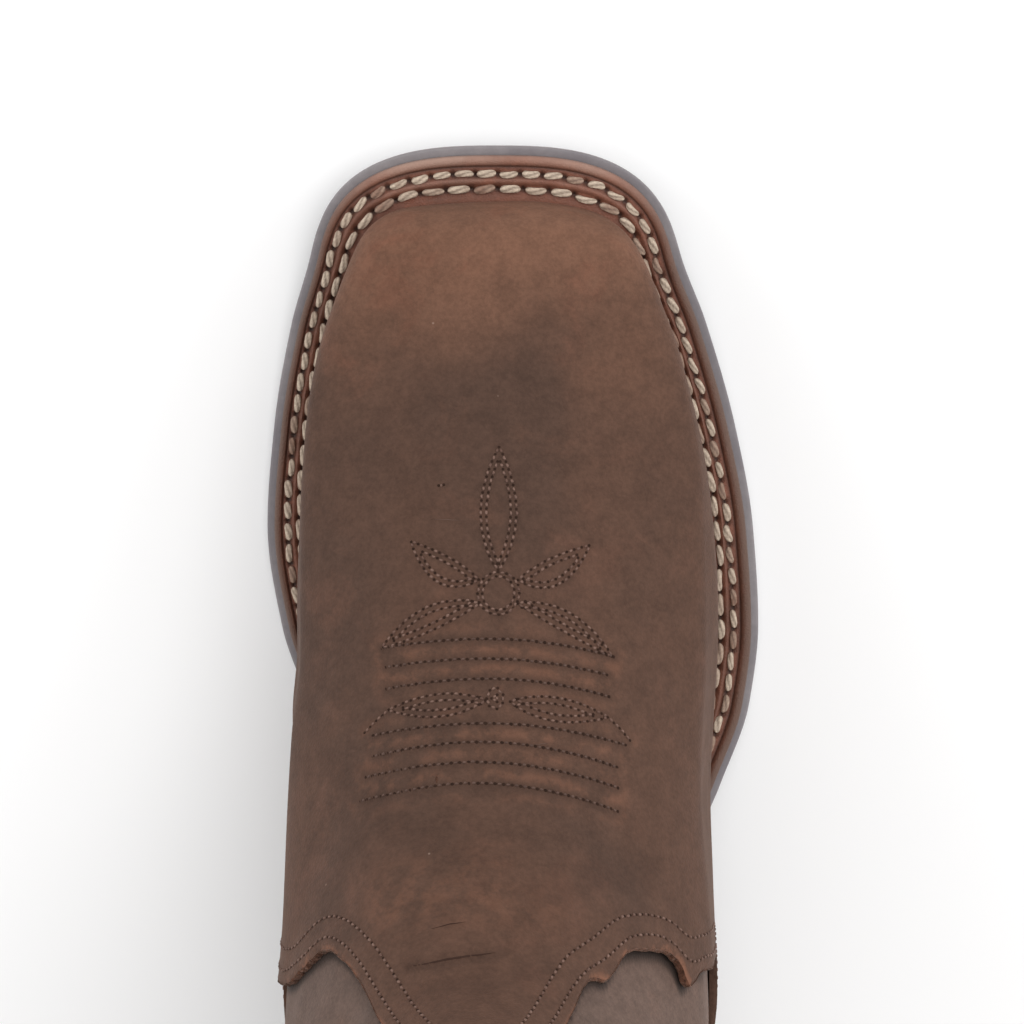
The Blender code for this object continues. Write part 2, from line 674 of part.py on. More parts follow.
def heel_slab(name, rounds, finish):
    """A full piece between rounds of the heel, closed straight across at both ends."""
    rounds = np.asarray(rounds)
    count = rounds.shape[1]
    faces = round_faces(len(rounds), count, False)
    for first in (0, (len(rounds) - 1) * count):
        faces.append((first, first + 1, first + count - 1))
        for c in range(1, count // 2):
            faces.append((first + c, first + c + 1, first + count - c - 1, first + count - c))
    return solid(name, rounds.reshape(-1, 3), faces, finish)


def make_heel(stack_finish, cap_finish):
    """The stacked heel, raked at the back and the breast, and the rubber cap under it."""

    def section(share_down, height):
        inset = HEEL_SET_IN + HEEL_TAPER * share_down
        return heel_round(inset, HEEL_RAKE * share_down, BREAST_RAKE * share_down, height)

    cap_share = 1 - HEEL_CAP / HEEL_HEIGHT
    heel_slab(
        "heel_stack",
        [
            section(cap_share, even(HEEL_CAP + GAP)),
            section(cap_share / 2, even((HEEL_CAP + HEEL_HEIGHT) / 2)),
            section(0, lambda p: sole_underside(p) - GAP),
        ],
        stack_finish,
    )
    heel_slab("heel_cap", [section(1, even(0.0)), section(cap_share, even(HEEL_CAP))], cap_finish)


def clear_scene():
    for existing in list(bpy.data.objects):
        bpy.data.objects.remove(existing)


def main():
    clear_scene()
    brown = material("brown_leather", BROWN_LEATHER, 0.62)
    dark = material("dark_brown_leather", DARK_BROWN_LEATHER, 0.62)
    welt_brown = material("welt_leather", WELT_BROWN, 0.55)
    tan = material("insole_leather", INSOLE_TAN, 0.7)
    stack = material("stacked_leather", STACK_BROWN, 0.5)
    grey = material("grey_rubber", SOLE_GREY, 0.7)
    black = material("black_rubber", CAP_BLACK, 0.8)

    skin = Skin(sorted([*range(len(LEVELS)), *EXTRA_LEVELS]), crowd_shares(HALF_COLUMNS))
    make_outsole(skin.shares, grey)
    make_welt(skin, welt_brown)
    make_insole(skin, tan)
    make_heel(stack, black)
    make_upper(skin, dark)
    make_vamp(skin, brown)
    make_counter(skin, brown)
    for side, word in ((1, "inner"), (-1, "outer")):
        make_side_seam("side_seam_" + word, skin, side, dark)
        make_pull_strap("pull_strap_" + word, skin, side, dark)
    make_binding(skin, dark)


main()
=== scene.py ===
"""The looks of a right western boot: leather, stitching, welt, sole and heel, built round its solids.

The boot stands on the floor at z = 0 with its toe towards -Y and its inner side towards +X.
"""

import math
from collections import namedtuple

import bmesh
import bpy
import numpy as np
from mathutils import Matrix, Vector
from mathutils.bvhtree import BVHTree


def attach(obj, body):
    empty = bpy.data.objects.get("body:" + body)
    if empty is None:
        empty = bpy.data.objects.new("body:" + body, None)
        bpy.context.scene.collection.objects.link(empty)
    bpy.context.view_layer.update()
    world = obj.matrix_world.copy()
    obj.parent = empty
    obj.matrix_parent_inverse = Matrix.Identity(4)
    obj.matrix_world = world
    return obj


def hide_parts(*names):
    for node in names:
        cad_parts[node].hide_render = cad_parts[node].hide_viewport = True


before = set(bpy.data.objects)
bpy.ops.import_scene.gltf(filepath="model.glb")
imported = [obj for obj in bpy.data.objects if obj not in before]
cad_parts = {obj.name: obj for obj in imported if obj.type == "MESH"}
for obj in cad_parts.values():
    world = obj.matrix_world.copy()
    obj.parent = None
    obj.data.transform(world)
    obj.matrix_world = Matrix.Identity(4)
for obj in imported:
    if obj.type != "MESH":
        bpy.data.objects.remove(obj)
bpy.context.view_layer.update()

MM = 0.001


def table(fields, *rows):
    """A table's rows, each with its fields by name."""
    row_type = namedtuple("Row", fields)
    return [row_type(*row) for row in rows]


# Driving sizes of the sole and heel
SOLE_LENGTH = 312 * MM
BALL_WIDTH = 117.5 * MM
HEEL_HEIGHT = 38 * MM
HEEL_LENGTH = 71 * MM
TOE_SPRING = 11.5 * MM
OUTSOLE = 6 * MM
OUTSOLE_BEVEL = 1.2 * MM
WELT = 3.5 * MM
WELT_SET_BACK = 1.3 * MM
HEEL_CAP = 7 * MM
HEEL_SET_IN = 0.8 * MM
HEEL_TAPER = 3.5 * MM
HEEL_RAKE = 5 * MM
BREAST_RAKE = 4 * MM

# Driving sizes of the upper
INSTEP_WIDTH = 94 * MM
HEEL_CUP_WIDTH = 69 * MM
THROAT_RISE = 122 * MM
SHAFT_RISE = 154 * MM
COLLAR_CROWN = 22 * MM
SHELL = 2.2 * MM
OVERLAY = 2 * MM
BINDING = 1 * MM
BINDING_DEPTH = 9 * MM
SEAM_WIDTH = 5 * MM
SEAM_HEIGHT = 1.6 * MM
STRAP_WIDTH = 32 * MM
STRAP = 2 * MM
STRAP_DROP = 46 * MM
STRAP_LOOP = 20 * MM
STRAP_BULGE = 3 * MM

# Clearances between pieces that touch on the real boot
GAP = 0.3 * MM
UNDER_GAP = 0.5 * MM
SEAT_GAP = 0.4 * MM

# Half outline of the sole: shares of its length from the back of the heel, and of the ball width to each
# side. inset: how far the feather line lies inside it, a share of the ball width.
SOLE_ROWS = table(
    "station inner outer inset",
    (0.00, 0.296, 0.296, 0.0553),
    (0.12, 0.302, 0.302, 0.0553),
    (0.24, 0.288, 0.298, 0.0613),
    (0.36, 0.262, 0.335, 0.0723),
    (0.44, 0.290, 0.395, 0.0851),
    (0.50, 0.335, 0.466, 0.1021),
    (0.56, 0.392, 0.525, 0.1132),
    (0.62, 0.447, 0.543, 0.1174),
    (0.70, 0.476, 0.530, 0.1183),
    (0.78, 0.460, 0.491, 0.1183),
    (0.86, 0.422, 0.430, 0.1217),
    (0.92, 0.378, 0.372, 0.1294),
    (1.00, 0.350, 0.338, 0.1328),
)
SOLE_TAIL = 36 * MM
SOLE_NOSE = 30 * MM
TAIL_POWER = 2.15
NOSE_POWER = 2.8

# Underside of the outsole from the side: shares of the length, of the heel height and of the toe spring
PITCH_ROWS = table(
    "station heel toe",
    (0.000, 1.00, 0.0),
    (0.120, 0.98, 0.0),
    (0.230, 0.90, 0.0),
    (0.320, 0.70, 0.0),
    (0.417, 0.40, 0.0),
    (0.497, 0.165, 0.0),
    (0.560, 0.035, 0.0),
    (0.603, 0.0, 0.0),
    (0.785, 0.0, 0.0),
    (0.835, 0.0, 0.08),
    (0.900, 0.0, 0.33),
    (0.960, 0.0, 0.71),
    (1.000, 0.0, 1.0),
)

# Levels of the upper, closed rounds from the feather line at the sole up to the collar.
# follow: how far the round follows the sole's pitch; feather: how far it keeps the feather line's outline;
# back, front, tail and nose: shares of the sole length; rises: 0 to 1 up to the throat, 1 to 2 up the shaft;
# heel: share of the heel cup's width; waist: of the instep's; ball and toe: of the ball's, all to each side;
# square: how square the nose is; lean: how far the ridge lies to the inner side, of the ball width;
# crown: how far the round arches up between its back and its front, of the collar's crown.
Level = namedtuple(
    "Level",
    "follow feather back back_rise front front_rise heel waist ball toe tail nose square lean crown",
)
LEVEL_ROWS = (
    (1.00, 1.00, 0.0208, 0.000, 0.950, 0.000, 0.470, 0.400, 0.400, 0.320, 0.110, 0.095, 2.80, 0.000, 0.00),
    (1.00, 1.00, 0.0208, 0.031, 0.950, 0.031, 0.470, 0.400, 0.400, 0.320, 0.110, 0.095, 2.80, 0.000, 0.00),
    (1.00, 0.60, 0.0150, 0.090, 0.949, 0.095, 0.490, 0.460, 0.415, 0.335, 0.110, 0.098, 2.70, 0.000, 0.00),
    (1.00, 0.25, 0.0105, 0.155, 0.941, 0.158, 0.495, 0.495, 0.418, 0.330, 0.110, 0.106, 2.58, 0.002, 0.00),
    (1.00, 0.00, 0.0085, 0.215, 0.924, 0.210, 0.497, 0.508, 0.416, 0.320, 0.110, 0.121, 2.40, 0.004, 0.00),
    (1.00, 0.00, 0.0085, 0.270, 0.896, 0.250, 0.497, 0.512, 0.409, 0.318, 0.110, 0.152, 2.22, 0.008, 0.00),
    (0.96, 0.00, 0.0100, 0.325, 0.856, 0.292, 0.495, 0.513, 0.399, 0.320, 0.112, 0.200, 2.12, 0.014, 0.00),
    (0.88, 0.00, 0.0130, 0.385, 0.802, 0.337, 0.492, 0.512, 0.390, 0.322, 0.115, 0.255, 2.06, 0.022, 0.00),
    (0.75, 0.00, 0.0165, 0.445, 0.742, 0.366, 0.490, 0.509, 0.386, 0.324, 0.118, 0.295, 2.04, 0.030, 0.00),
    (0.60, 0.00, 0.0205, 0.505, 0.681, 0.398, 0.490, 0.506, 0.385, 0.325, 0.122, 0.315, 2.04, 0.037, 0.00),
    (0.45, 0.00, 0.0245, 0.570, 0.619, 0.445, 0.493, 0.503, 0.385, 0.325, 0.128, 0.318, 2.06, 0.042, 0.00),
    (0.30, 0.00, 0.0285, 0.640, 0.561, 0.512, 0.500, 0.500, 0.382, 0.325, 0.138, 0.305, 2.08, 0.045, 0.00),
    (0.18, 0.00, 0.0320, 0.720, 0.512, 0.605, 0.512, 0.497, 0.378, 0.325, 0.152, 0.285, 2.10, 0.045, 0.00),
    (0.08, 0.00, 0.0335, 0.800, 0.472, 0.722, 0.530, 0.492, 0.373, 0.325, 0.170, 0.268, 2.10, 0.043, 0.00),
    (0.00, 0.00, 0.0335, 0.885, 0.445, 0.855, 0.550, 0.487, 0.368, 0.325, 0.188, 0.255, 2.10, 0.038, 0.00),
    (0.00, 0.00, 0.0315, 1.000, 0.436, 1.000, 0.575, 0.481, 0.362, 0.320, 0.205, 0.248, 2.10, 0.032, 0.00),
    (0.00, 0.00, 0.0250, 1.170, 0.439, 1.170, 0.600, 0.476, 0.355, 0.320, 0.220, 0.244, 2.10, 0.022, 0.02),
    (0.00, 0.00, 0.0140, 1.380, 0.450, 1.380, 0.622, 0.474, 0.350, 0.320, 0.232, 0.242, 2.12, 0.012, 0.08),
    (0.00, 0.00, 0.0010, 1.610, 0.464, 1.610, 0.640, 0.478, 0.350, 0.320, 0.240, 0.242, 2.15, 0.005, 0.28),
    (0.00, 0.00, -0.0110, 1.830, 0.478, 1.830, 0.650, 0.482, 0.350, 0.320, 0.246, 0.244, 2.15, 0.000, 0.66),
    (0.00, 0.00, -0.0190, 2.000, 0.488, 2.000, 0.655, 0.484, 0.350, 0.320, 0.250, 0.246, 2.15, 0.000, 1.00),
)
LEVELS = [Level(*row) for row in LEVEL_ROWS]
WIDTH_STATIONS = (0.115, 0.370, 0.640, 0.880)

# What each side of the foot gains on an even last, shares of the ball width
SIDE_ROWS = table(
    "station inner outer",
    (0.00, 0.000, 0.000),
    (0.24, 0.002, -0.002),
    (0.37, -0.004, 0.014),
    (0.45, -0.016, 0.005),
    (0.52, -0.020, -0.002),
    (0.57, -0.023, 0.004),
    (0.62, -0.034, 0.011),
    (0.70, -0.026, 0.010),
    (0.76, -0.011, 0.013),
    (0.82, 0.002, 0.014),
    (0.90, 0.008, 0.013),
    (1.00, 0.003, -0.003),
)
SIDE_FADE = 2.2
CROWN_POWER = 2.4

# Edges of the leather overlays: the level that each edge reaches, against its place round half the boot,
# from 0 at the back to 1 at the front
VAMP_EDGE = table(
    "share level",
    (0.360, 4.0),
    (0.420, 4.9),
    (0.470, 6.1),
    (0.520, 7.5),
    (0.580, 9.0),
    (0.650, 10.2),
    (0.710, 10.9),
    (0.775, 11.6),
    (0.810, 12.1),
    (0.850, 12.8),
    (0.885, 13.9),
    (0.915, 14.8),
    (0.945, 15.4),
    (1.000, 15.8),
)
COUNTER_EDGE = table(
    "share level",
    (0.000, 11.6),
    (0.050, 10.9),
    (0.120, 9.9),
    (0.200, 8.8),
    (0.270, 7.0),
    (0.320, 5.2),
    (0.360, 4.0),
)
SIDE_SHARE = 0.360
SEAM_START = 5.0
COLLAR_SHARE = 0.5
WALL_LEVEL = 1

DENSE = 500


def curve(places, values):
    """A smooth curve through the values that never overshoots them, as a function of the place."""
    places = np.asarray(places, float)
    values = np.asarray(values, float)
    steps = np.diff(places)
    slopes = np.diff(values) / steps
    before, after = slopes[:-1], slopes[1:]
    same_way = before * after > 0
    total = np.where(same_way, before + after, 1)
    tangents = np.concatenate([slopes[:1], np.where(same_way, 2 * before * after / total, 0), slopes[-1:]])

    def value(place):
        place = np.clip(place, places[0], places[-1])
        k = np.clip(np.searchsorted(places, place, side="right") - 1, 0, len(steps) - 1)
        t = (place - places[k]) / steps[k]
        rise = (3 - 2 * t) * t * t
        bend = t * (1 - t) * steps[k] * ((1 - t) * tangents[k] - t * tangents[k + 1])
        return values[k] * (1 - rise) + values[k + 1] * rise + bend

    return value


def column(rows, name, unit=1.0):
    """One named column of a table, times the size that it is a share of."""
    return np.array([getattr(row, name) for row in rows]) * unit


def width_along(rows, name):
    """A width along the sole from a table's column of shares of the ball width."""
    return curve(column(rows, "station", SOLE_LENGTH), column(rows, name, BALL_WIDTH))


sole_width = {1: width_along(SOLE_ROWS, "inner"), -1: width_along(SOLE_ROWS, "outer")}
side_gain = {1: width_along(SIDE_ROWS, "inner"), -1: width_along(SIDE_ROWS, "outer")}
feather_inset = width_along(SOLE_ROWS, "inset")
sole_underside = curve(
    column(PITCH_ROWS, "station", SOLE_LENGTH),
    column(PITCH_ROWS, "heel", HEEL_HEIGHT) + column(PITCH_ROWS, "toe", TOE_SPRING),
)


def sole_top(station):
    return sole_underside(station) + OUTSOLE


def feather_height(station):
    return sole_top(station) + SEAT_GAP


def rounded_ends(station, back, front, tail, nose, tail_power, nose_power):
    """1 along the middle of an outline, falling to 0 at its back and front as a superellipse does."""
    behind = np.clip((back + tail - station) / tail, 0, 1)
    ahead = np.clip((station - front + nose) / nose, 0, 1)
    return (1 - behind**tail_power) ** (1 / tail_power) * (1 - ahead**nose_power) ** (1 / nose_power)


def crowded(back, front):
    """Stations from back to front, close together at both ends where the outline turns."""
    turn = np.linspace(0, np.pi, DENSE)
    return back + (front - back) * (1 - np.cos(turn)) / 2


def run_along(line):
    """The distance along a line up to each of its points."""
    return np.concatenate([[0], np.cumsum(np.linalg.norm(np.diff(line, axis=0), axis=1))])


def at_runs(line, run, wanted):
    """The places on a line at the wanted distances along it."""
    return np.column_stack([np.interp(wanted, run, part) for part in line.T])


def spread(line, shares):
    """Points at those shares of the line's length as seen from above."""
    run = run_along(line[:, :2])
    return at_runs(line, run, shares * run[-1])


def spaced(line, step):
    """Points a step apart along a polyline."""
    run = run_along(line)
    return at_runs(line, run, np.linspace(0, run[-1], max(2, int(round(run[-1] / step)) + 1)))


def round_of(inner, outer):
    """A closed round from its two halves, each given from the back to the front."""
    return np.vstack([inner, outer[-2:0:-1]])


def sole_half(side):
    """Half the sole's outline as (station, x) points from the back to the toe; side is 1 inner, -1 outer."""
    station = crowded(0, SOLE_LENGTH)
    width = sole_width[side](station)
    width = width * rounded_ends(station, 0, SOLE_LENGTH, SOLE_TAIL, SOLE_NOSE, TAIL_POWER, NOSE_POWER)
    return np.column_stack([station, side * width])


def inset_half(side, inset):
    """Half the sole's outline moved in by inset, a function of the station."""
    line = sole_half(side)
    along = np.gradient(line, axis=0)
    along[0] = (0, side)
    along[-1] = (0, -side)
    along /= np.linalg.norm(along, axis=1)[:, None]
    inward = np.column_stack([along[:, 1], -along[:, 0]]) * side
    moved = line + inward * inset(line[:, 0])[:, None]
    moved[[0, -1], 1] = 0
    return moved


def even(size):
    """The same size at every station."""
    return lambda station: np.full_like(station, size)


level_curves = {name: curve(np.arange(len(LEVELS)), column(LEVELS, name)) for name in Level._fields}


def rise_height(rise):
    return THROAT_RISE * np.minimum(rise, 1) + SHAFT_RISE * np.maximum(rise - 1, 0)


def level_half(level, side, shares):
    """Half a level of the upper's shell as (station, x, z) points from the back to the front."""
    row = Level(*(level_curves[name](level) for name in Level._fields))
    back, front = row.back * SOLE_LENGTH, row.front * SOLE_LENGTH
    station = crowded(back, front)
    shares_of = (HEEL_CUP_WIDTH, INSTEP_WIDTH, BALL_WIDTH, BALL_WIDTH)
    widths = np.multiply((row.heel, row.waist, row.ball, row.toe), shares_of)
    width = curve(np.array(WIDTH_STATIONS) * SOLE_LENGTH, widths)(station)
    width = width + min(1, SIDE_FADE * row.follow) * side_gain[side](station)
    tail, nose = row.tail * SOLE_LENGTH, row.nose * SOLE_LENGTH
    width = width * rounded_ends(station, back, front, tail, nose, TAIL_POWER, row.square)
    along = (station - back) / (front - back)
    free = spread(np.column_stack([station, side * width + row.lean * BALL_WIDTH * along**2]), shares)
    kept = spread(inset_half(side, feather_inset), shares)
    plan = kept * row.feather + free * (1 - row.feather)
    along = np.clip((plan[:, 0] - back) / (front - back), 0, 1)
    rise = rise_height(row.back_rise) * (1 - along) + rise_height(row.front_rise) * along
    crown = row.crown * COLLAR_CROWN * (1 - np.abs(2 * along - 1) ** CROWN_POWER)
    base = row.follow * feather_height(plan[:, 0]) + (1 - row.follow) * feather_height(0)
    return np.column_stack([plan, base + rise + crown])


def placed(points):
    """Points given as (station, x, z) in the boot's frame: toe towards -Y, origin under the heel's middle."""
    points = np.asarray(points, float)
    return np.stack([points[..., 1], HEEL_LENGTH / 2 - points[..., 0], points[..., 2]], axis=-1)


class Skin:
    """The outer face of the upper's shell, closely sampled, with a normal at each point."""

    LEVEL_STEP = 0.1
    HALF = 400

    def __init__(self):
        self.levels = np.arange(0, len(LEVELS) - 1 + self.LEVEL_STEP / 2, self.LEVEL_STEP)
        shares = np.linspace(0, 1, self.HALF + 1)
        rounds = [round_of(level_half(v, 1, shares), level_half(v, -1, shares)) for v in self.levels]
        self.points = placed(rounds)
        around = np.roll(self.points, -1, axis=1) - np.roll(self.points, 1, axis=1)
        upward = np.gradient(self.points, axis=0)
        normals = np.cross(upward, around)
        normals[..., 2] *= np.clip((self.levels - WALL_LEVEL) * 2, 0, 1)[:, None]
        self.normals = normals / np.linalg.norm(normals, axis=2)[:, :, None]

    def at(self, level, turn, offset=0.0):
        """Points at those levels and turns (0 back, 1 or -1 front; inner side positive), offset outwards."""
        level, turn, offset = np.broadcast_arrays(level, turn, offset)
        v = np.clip(level / self.LEVEL_STEP, 0, len(self.levels) - 1.001)
        w = (turn * self.HALF) % (2 * self.HALF)
        i, j = v.astype(int), w.astype(int)
        a, b = (v - i)[..., None], (w - j)[..., None]
        count = 2 * self.HALF
        total = 0
        for share, r, c in (
            ((1 - a) * (1 - b), i, j),
            ((1 - a) * b, i, j + 1),
            (a * (1 - b), i + 1, j),
            (a * b, i + 1, j + 1),
        ):
            corner = r, c % count
            total = total + share * (self.points[corner] + offset[..., None] * self.normals[corner])
        return total


def piece(name, points, faces, finishes, node=None, masks=None, kinds=None, sharp=0.7):
    """A named piece of the boot as a mesh. masks are numbers per point, kinds a finish number per face."""
    mesh = bpy.data.meshes.new(name)
    mesh.from_pydata(np.asarray(points).reshape(-1, 3).tolist(), [], faces)
    for finish in finishes:
        mesh.materials.append(finish)
    if kinds is not None:
        mesh.polygons.foreach_set("material_index", np.asarray(kinds, np.int32))
    for mask, values in (masks or {}).items():
        layer = mesh.attributes.new(mask, "FLOAT", "POINT")
        layer.data.foreach_set("value", np.asarray(values, np.float32).ravel())
    work = bmesh.new()
    work.from_mesh(mesh)
    bmesh.ops.recalc_face_normals(work, faces=work.faces)
    work.to_mesh(mesh)
    work.free()
    mesh.shade_smooth()
    mesh.set_sharp_from_angle(angle=sharp)
    made = bpy.data.objects.new(name, mesh)
    bpy.context.scene.collection.objects.link(made)
    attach(made, "root")
    if node:
        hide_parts(*([node] if isinstance(node, str) else node))
    return made


def grid_faces(rows, columns, closed_rows=False, closed_columns=False, first=0):
    """Four-sided faces of a grid of points, wrapped round in either direction if it is closed there."""
    r = np.arange(rows if closed_rows else rows - 1)[:, None]
    c = np.arange(columns if closed_columns else columns - 1)[None, :]
    r2, c2 = (r + 1) % rows, (c + 1) % columns
    quads = np.stack([r * columns + c, r * columns + c2, r2 * columns + c2, r2 * columns + c], axis=-1)
    return (quads.reshape(-1, 4) + first).tolist()


def across_faces(first, half):
    """Faces straight across a round of 2 * half points, from its inner half to its outer half."""
    count = 2 * half
    faces = [(first, first + 1, first + count - 1)]
    for c in range(1, half - 1):
        faces.append((first + c, first + c + 1, first + count - c - 1, first + count - c))
    faces.append((first + half - 1, first + half, first + half + 1))
    return faces


# Stitches: small threads pulled into the leather, each with its own length, turn and lean. Below: how a
# thread slants, its plies, how far they twist along half of it, and how blunt its ends are.
SLANT = 0.14
PLIES = 3
PLY_TWIST = 4.2
END_POWER = 3.4


def ply_grooves(rings, sides):
    """How deep each point of a stitch_form lies between its plies, 0 to 1."""
    u = (np.arange(rings)[:, None] + 0.5) / rings * 2 - 1
    turn = 2 * math.pi * np.arange(sides)[None] / sides
    deep = 0.5 - 0.5 * np.sin(PLIES * turn + PLY_TWIST * u)
    return np.concatenate([[1.0], deep.ravel(), [1.0]])


def stitch_form(rings, sides, ply):
    """One thread between two holes, 1 long, 1 wide and 1 high, with ply ridges twisted round it."""
    points = [(-0.5, 0, -0.1)]
    for k in range(rings):
        u = (k + 0.5) / rings * 2 - 1
        swell = (1 - abs(u) ** END_POWER) ** 0.5
        for s in range(sides):
            turn = 2 * math.pi * s / sides
            twist = 1 + ply * math.sin(PLIES * turn + PLY_TWIST * u)
            across = 0.5 * swell * twist * math.cos(turn)
            points.append((u / 2 + SLANT * across, across, 0.5 * swell * twist * math.sin(turn)))
    points.append((0.5, 0, -0.1))
    faces = []
    for k in range(rings - 1):
        for s in range(sides):
            a, b = 1 + k * sides + s, 1 + k * sides + (s + 1) % sides
            faces.append((a, b, b + sides, a + sides))
    last = len(points) - 1
    for s in range(sides):
        faces.append((0, 1 + (s + 1) % sides, 1 + s))
        faces.append((last, last - sides + s, last - sides + (s + 1) % sides))
    return np.array(points), faces


def unit(vectors):
    return vectors / np.maximum(np.linalg.norm(vectors, axis=-1, keepdims=True), 1e-12)


def row_frames(line, normals):
    """The way along and across a row of places, for each step between two neighbours."""
    middle = (line[1:] + line[:-1]) / 2
    along = unit(line[1:] - line[:-1])
    up = unit(normals[1:] + normals[:-1])
    across = unit(np.cross(up, along))
    return middle, along, across, unit(np.cross(along, across))


def stitch_row(rows, length, width, height, sink, form, seed):
    """Threads along each row of (places, normals), as points, faces and a tone for each point."""
    chance = np.random.default_rng(seed)
    shape, shape_faces = form
    points, faces, tones = [], [], []
    for line, normals in rows:
        middle, along, across, up = row_frames(line, normals)
        gap = np.linalg.norm(line[1:] - line[:-1], axis=1)
        for k in range(len(middle)):
            lean = chance.normal(0, 0.07)
            way = along[k] * math.cos(lean) + across[k] * math.sin(lean)
            side = np.cross(up[k], way)
            long = gap[k] * length * chance.uniform(0.93, 1.05)
            wide = width * chance.uniform(0.86, 1.1)
            local = shape * (long, wide, height)
            bend = chance.normal(0, 0.1) * wide * (1 - (2 * shape[:, 0]) ** 2)
            place = middle[k] + up[k] * (height * (0.5 - sink)) + across[k] * chance.normal(0, 0.04) * width
            made = place + local[:, :1] * way + (local[:, 1:2] + bend[:, None]) * side + local[:, 2:] * up[k]
            first = sum(len(p) for p in points)
            points.append(made)
            faces += [tuple(v + first for v in face) for face in shape_faces]
            tones.append(np.full(len(shape), chance.uniform()))
    return np.vstack(points), faces, np.concatenate(tones)


# Shader building: a node with its settings, and its inputs set or linked by name or number
def node(tree, kind, inputs=None, **settings):
    made = tree.nodes.new("ShaderNode" + kind)
    for name, value in settings.items():
        setattr(made, name, value)
    for name, value in (inputs or {}).items():
        socket = made.inputs[name]
        if isinstance(value, bpy.types.NodeSocket):
            tree.links.new(value, socket)
        else:
            socket.default_value = value
    return made


def math_of(tree, operation, *values, clamp=False):
    return node(tree, "Math", dict(enumerate(values)), operation=operation, use_clamp=clamp).outputs[0]


def blend_of(tree, amount, first, second, how="MIX"):
    made = node(tree, "Mix", {0: amount, 6: first, 7: second}, data_type="RGBA", blend_type=how)
    return made.outputs[2]


def ramp_of(tree, value, low, high, low_out=0.0, high_out=1.0):
    inputs = {"Value": value, "From Min": low, "From Max": high, "To Min": low_out, "To Max": high_out}
    return node(tree, "MapRange", inputs, interpolation_type="SMOOTHSTEP").outputs[0]


def noise_of(tree, vector, scale, detail=3.0, roughness=0.5, distortion=0.0):
    names = ("Vector", "Scale", "Detail", "Roughness", "Distortion")
    return node(tree, "TexNoise", dict(zip(names, (vector, scale, detail, roughness, distortion)))).outputs[0]


def colour(tone, factor=1.0):
    """A tone, lighter or darker by the factor, as a socket's colour."""
    return (*(factor * part for part in tone), 1.0)


def group(name, inputs, outputs):
    """An empty node group with named inputs (with their usual values) and outputs."""
    kinds = {"Color": "NodeSocketColor", "Vector": "NodeSocketVector", "Value": "NodeSocketFloat"}
    tree = bpy.data.node_groups.new(name, "ShaderNodeTree")
    for label, kind, usual in inputs:
        socket = tree.interface.new_socket(label, in_out="INPUT", socket_type=kinds[kind])
        if usual is not None:
            socket.default_value = usual
    for label, kind in outputs:
        tree.interface.new_socket(label, in_out="OUTPUT", socket_type=kinds[kind])
    entry = tree.nodes.new("NodeGroupInput")
    leave = tree.nodes.new("NodeGroupOutput")
    return tree, entry.outputs, leave.inputs


def placed_group(tree, made, inputs):
    return node(tree, "Group", inputs, node_tree=made).outputs


def make_mottle_group():
    """Oiled leather's uneven tone: broad clouds, rubbed warm patches, fine speckle and a few pale specks."""
    tree, given, out = group(
        "oiled_mottle",
        [
            ("Vector", "Vector", None),
            ("Base", "Color", colour((0.12, 0.07, 0.05))),
            ("Dark", "Color", colour((0.08, 0.05, 0.04))),
            ("Warm", "Color", colour((0.18, 0.08, 0.05))),
            ("Clouds", "Value", 16.0),
            ("Patches", "Value", 55.0),
            ("Specks", "Value", 1.0),
        ],
        [("Color", "Color"), ("Rubbed", "Value")],
    )
    clouds = noise_of(tree, given["Vector"], given["Clouds"], 4.0, 0.55, 0.4)
    dark = ramp_of(tree, clouds, 0.44, 0.66)
    toned = blend_of(tree, math_of(tree, "MULTIPLY", dark, 0.65), given["Base"], given["Dark"])
    patches = noise_of(tree, given["Vector"], given["Patches"], 7.0, 0.68, 0.6)
    rubbed = ramp_of(tree, patches, 0.5, 0.72)
    toned = blend_of(tree, math_of(tree, "MULTIPLY", rubbed, 0.5), toned, given["Warm"])
    speckle = noise_of(tree, given["Vector"], 900.0, 3.0, 0.7)
    middling = noise_of(tree, given["Vector"], 210.0, 4.0, 0.65)
    fine, coarse = (ramp_of(tree, noise, 0.3, 0.7, -0.11, 0.11) for noise in (speckle, middling))
    light = math_of(tree, "ADD", math_of(tree, "ADD", fine, coarse), 1.0)
    shade = node(tree, "CombineXYZ", {0: light, 1: light, 2: light}).outputs[0]
    toned = blend_of(tree, 1.0, toned, shade, "MULTIPLY")
    cells = node(tree, "TexVoronoi", {"Vector": given["Vector"], "Scale": 130.0}, feature="F1")
    near = ramp_of(tree, cells.outputs["Distance"], 0.05, 0.02)
    chosen = node(tree, "SeparateColor", {0: cells.outputs["Color"]}).outputs[0]
    speck = math_of(tree, "MULTIPLY", near, math_of(tree, "GREATER_THAN", chosen, 0.88))
    speck = math_of(tree, "MULTIPLY", speck, given["Specks"])
    toned = blend_of(tree, math_of(tree, "MULTIPLY", speck, 0.35), toned, colour((0.42, 0.3, 0.24)))
    tree.links.new(toned, out["Color"])
    tree.links.new(rubbed, out["Rubbed"])
    return tree


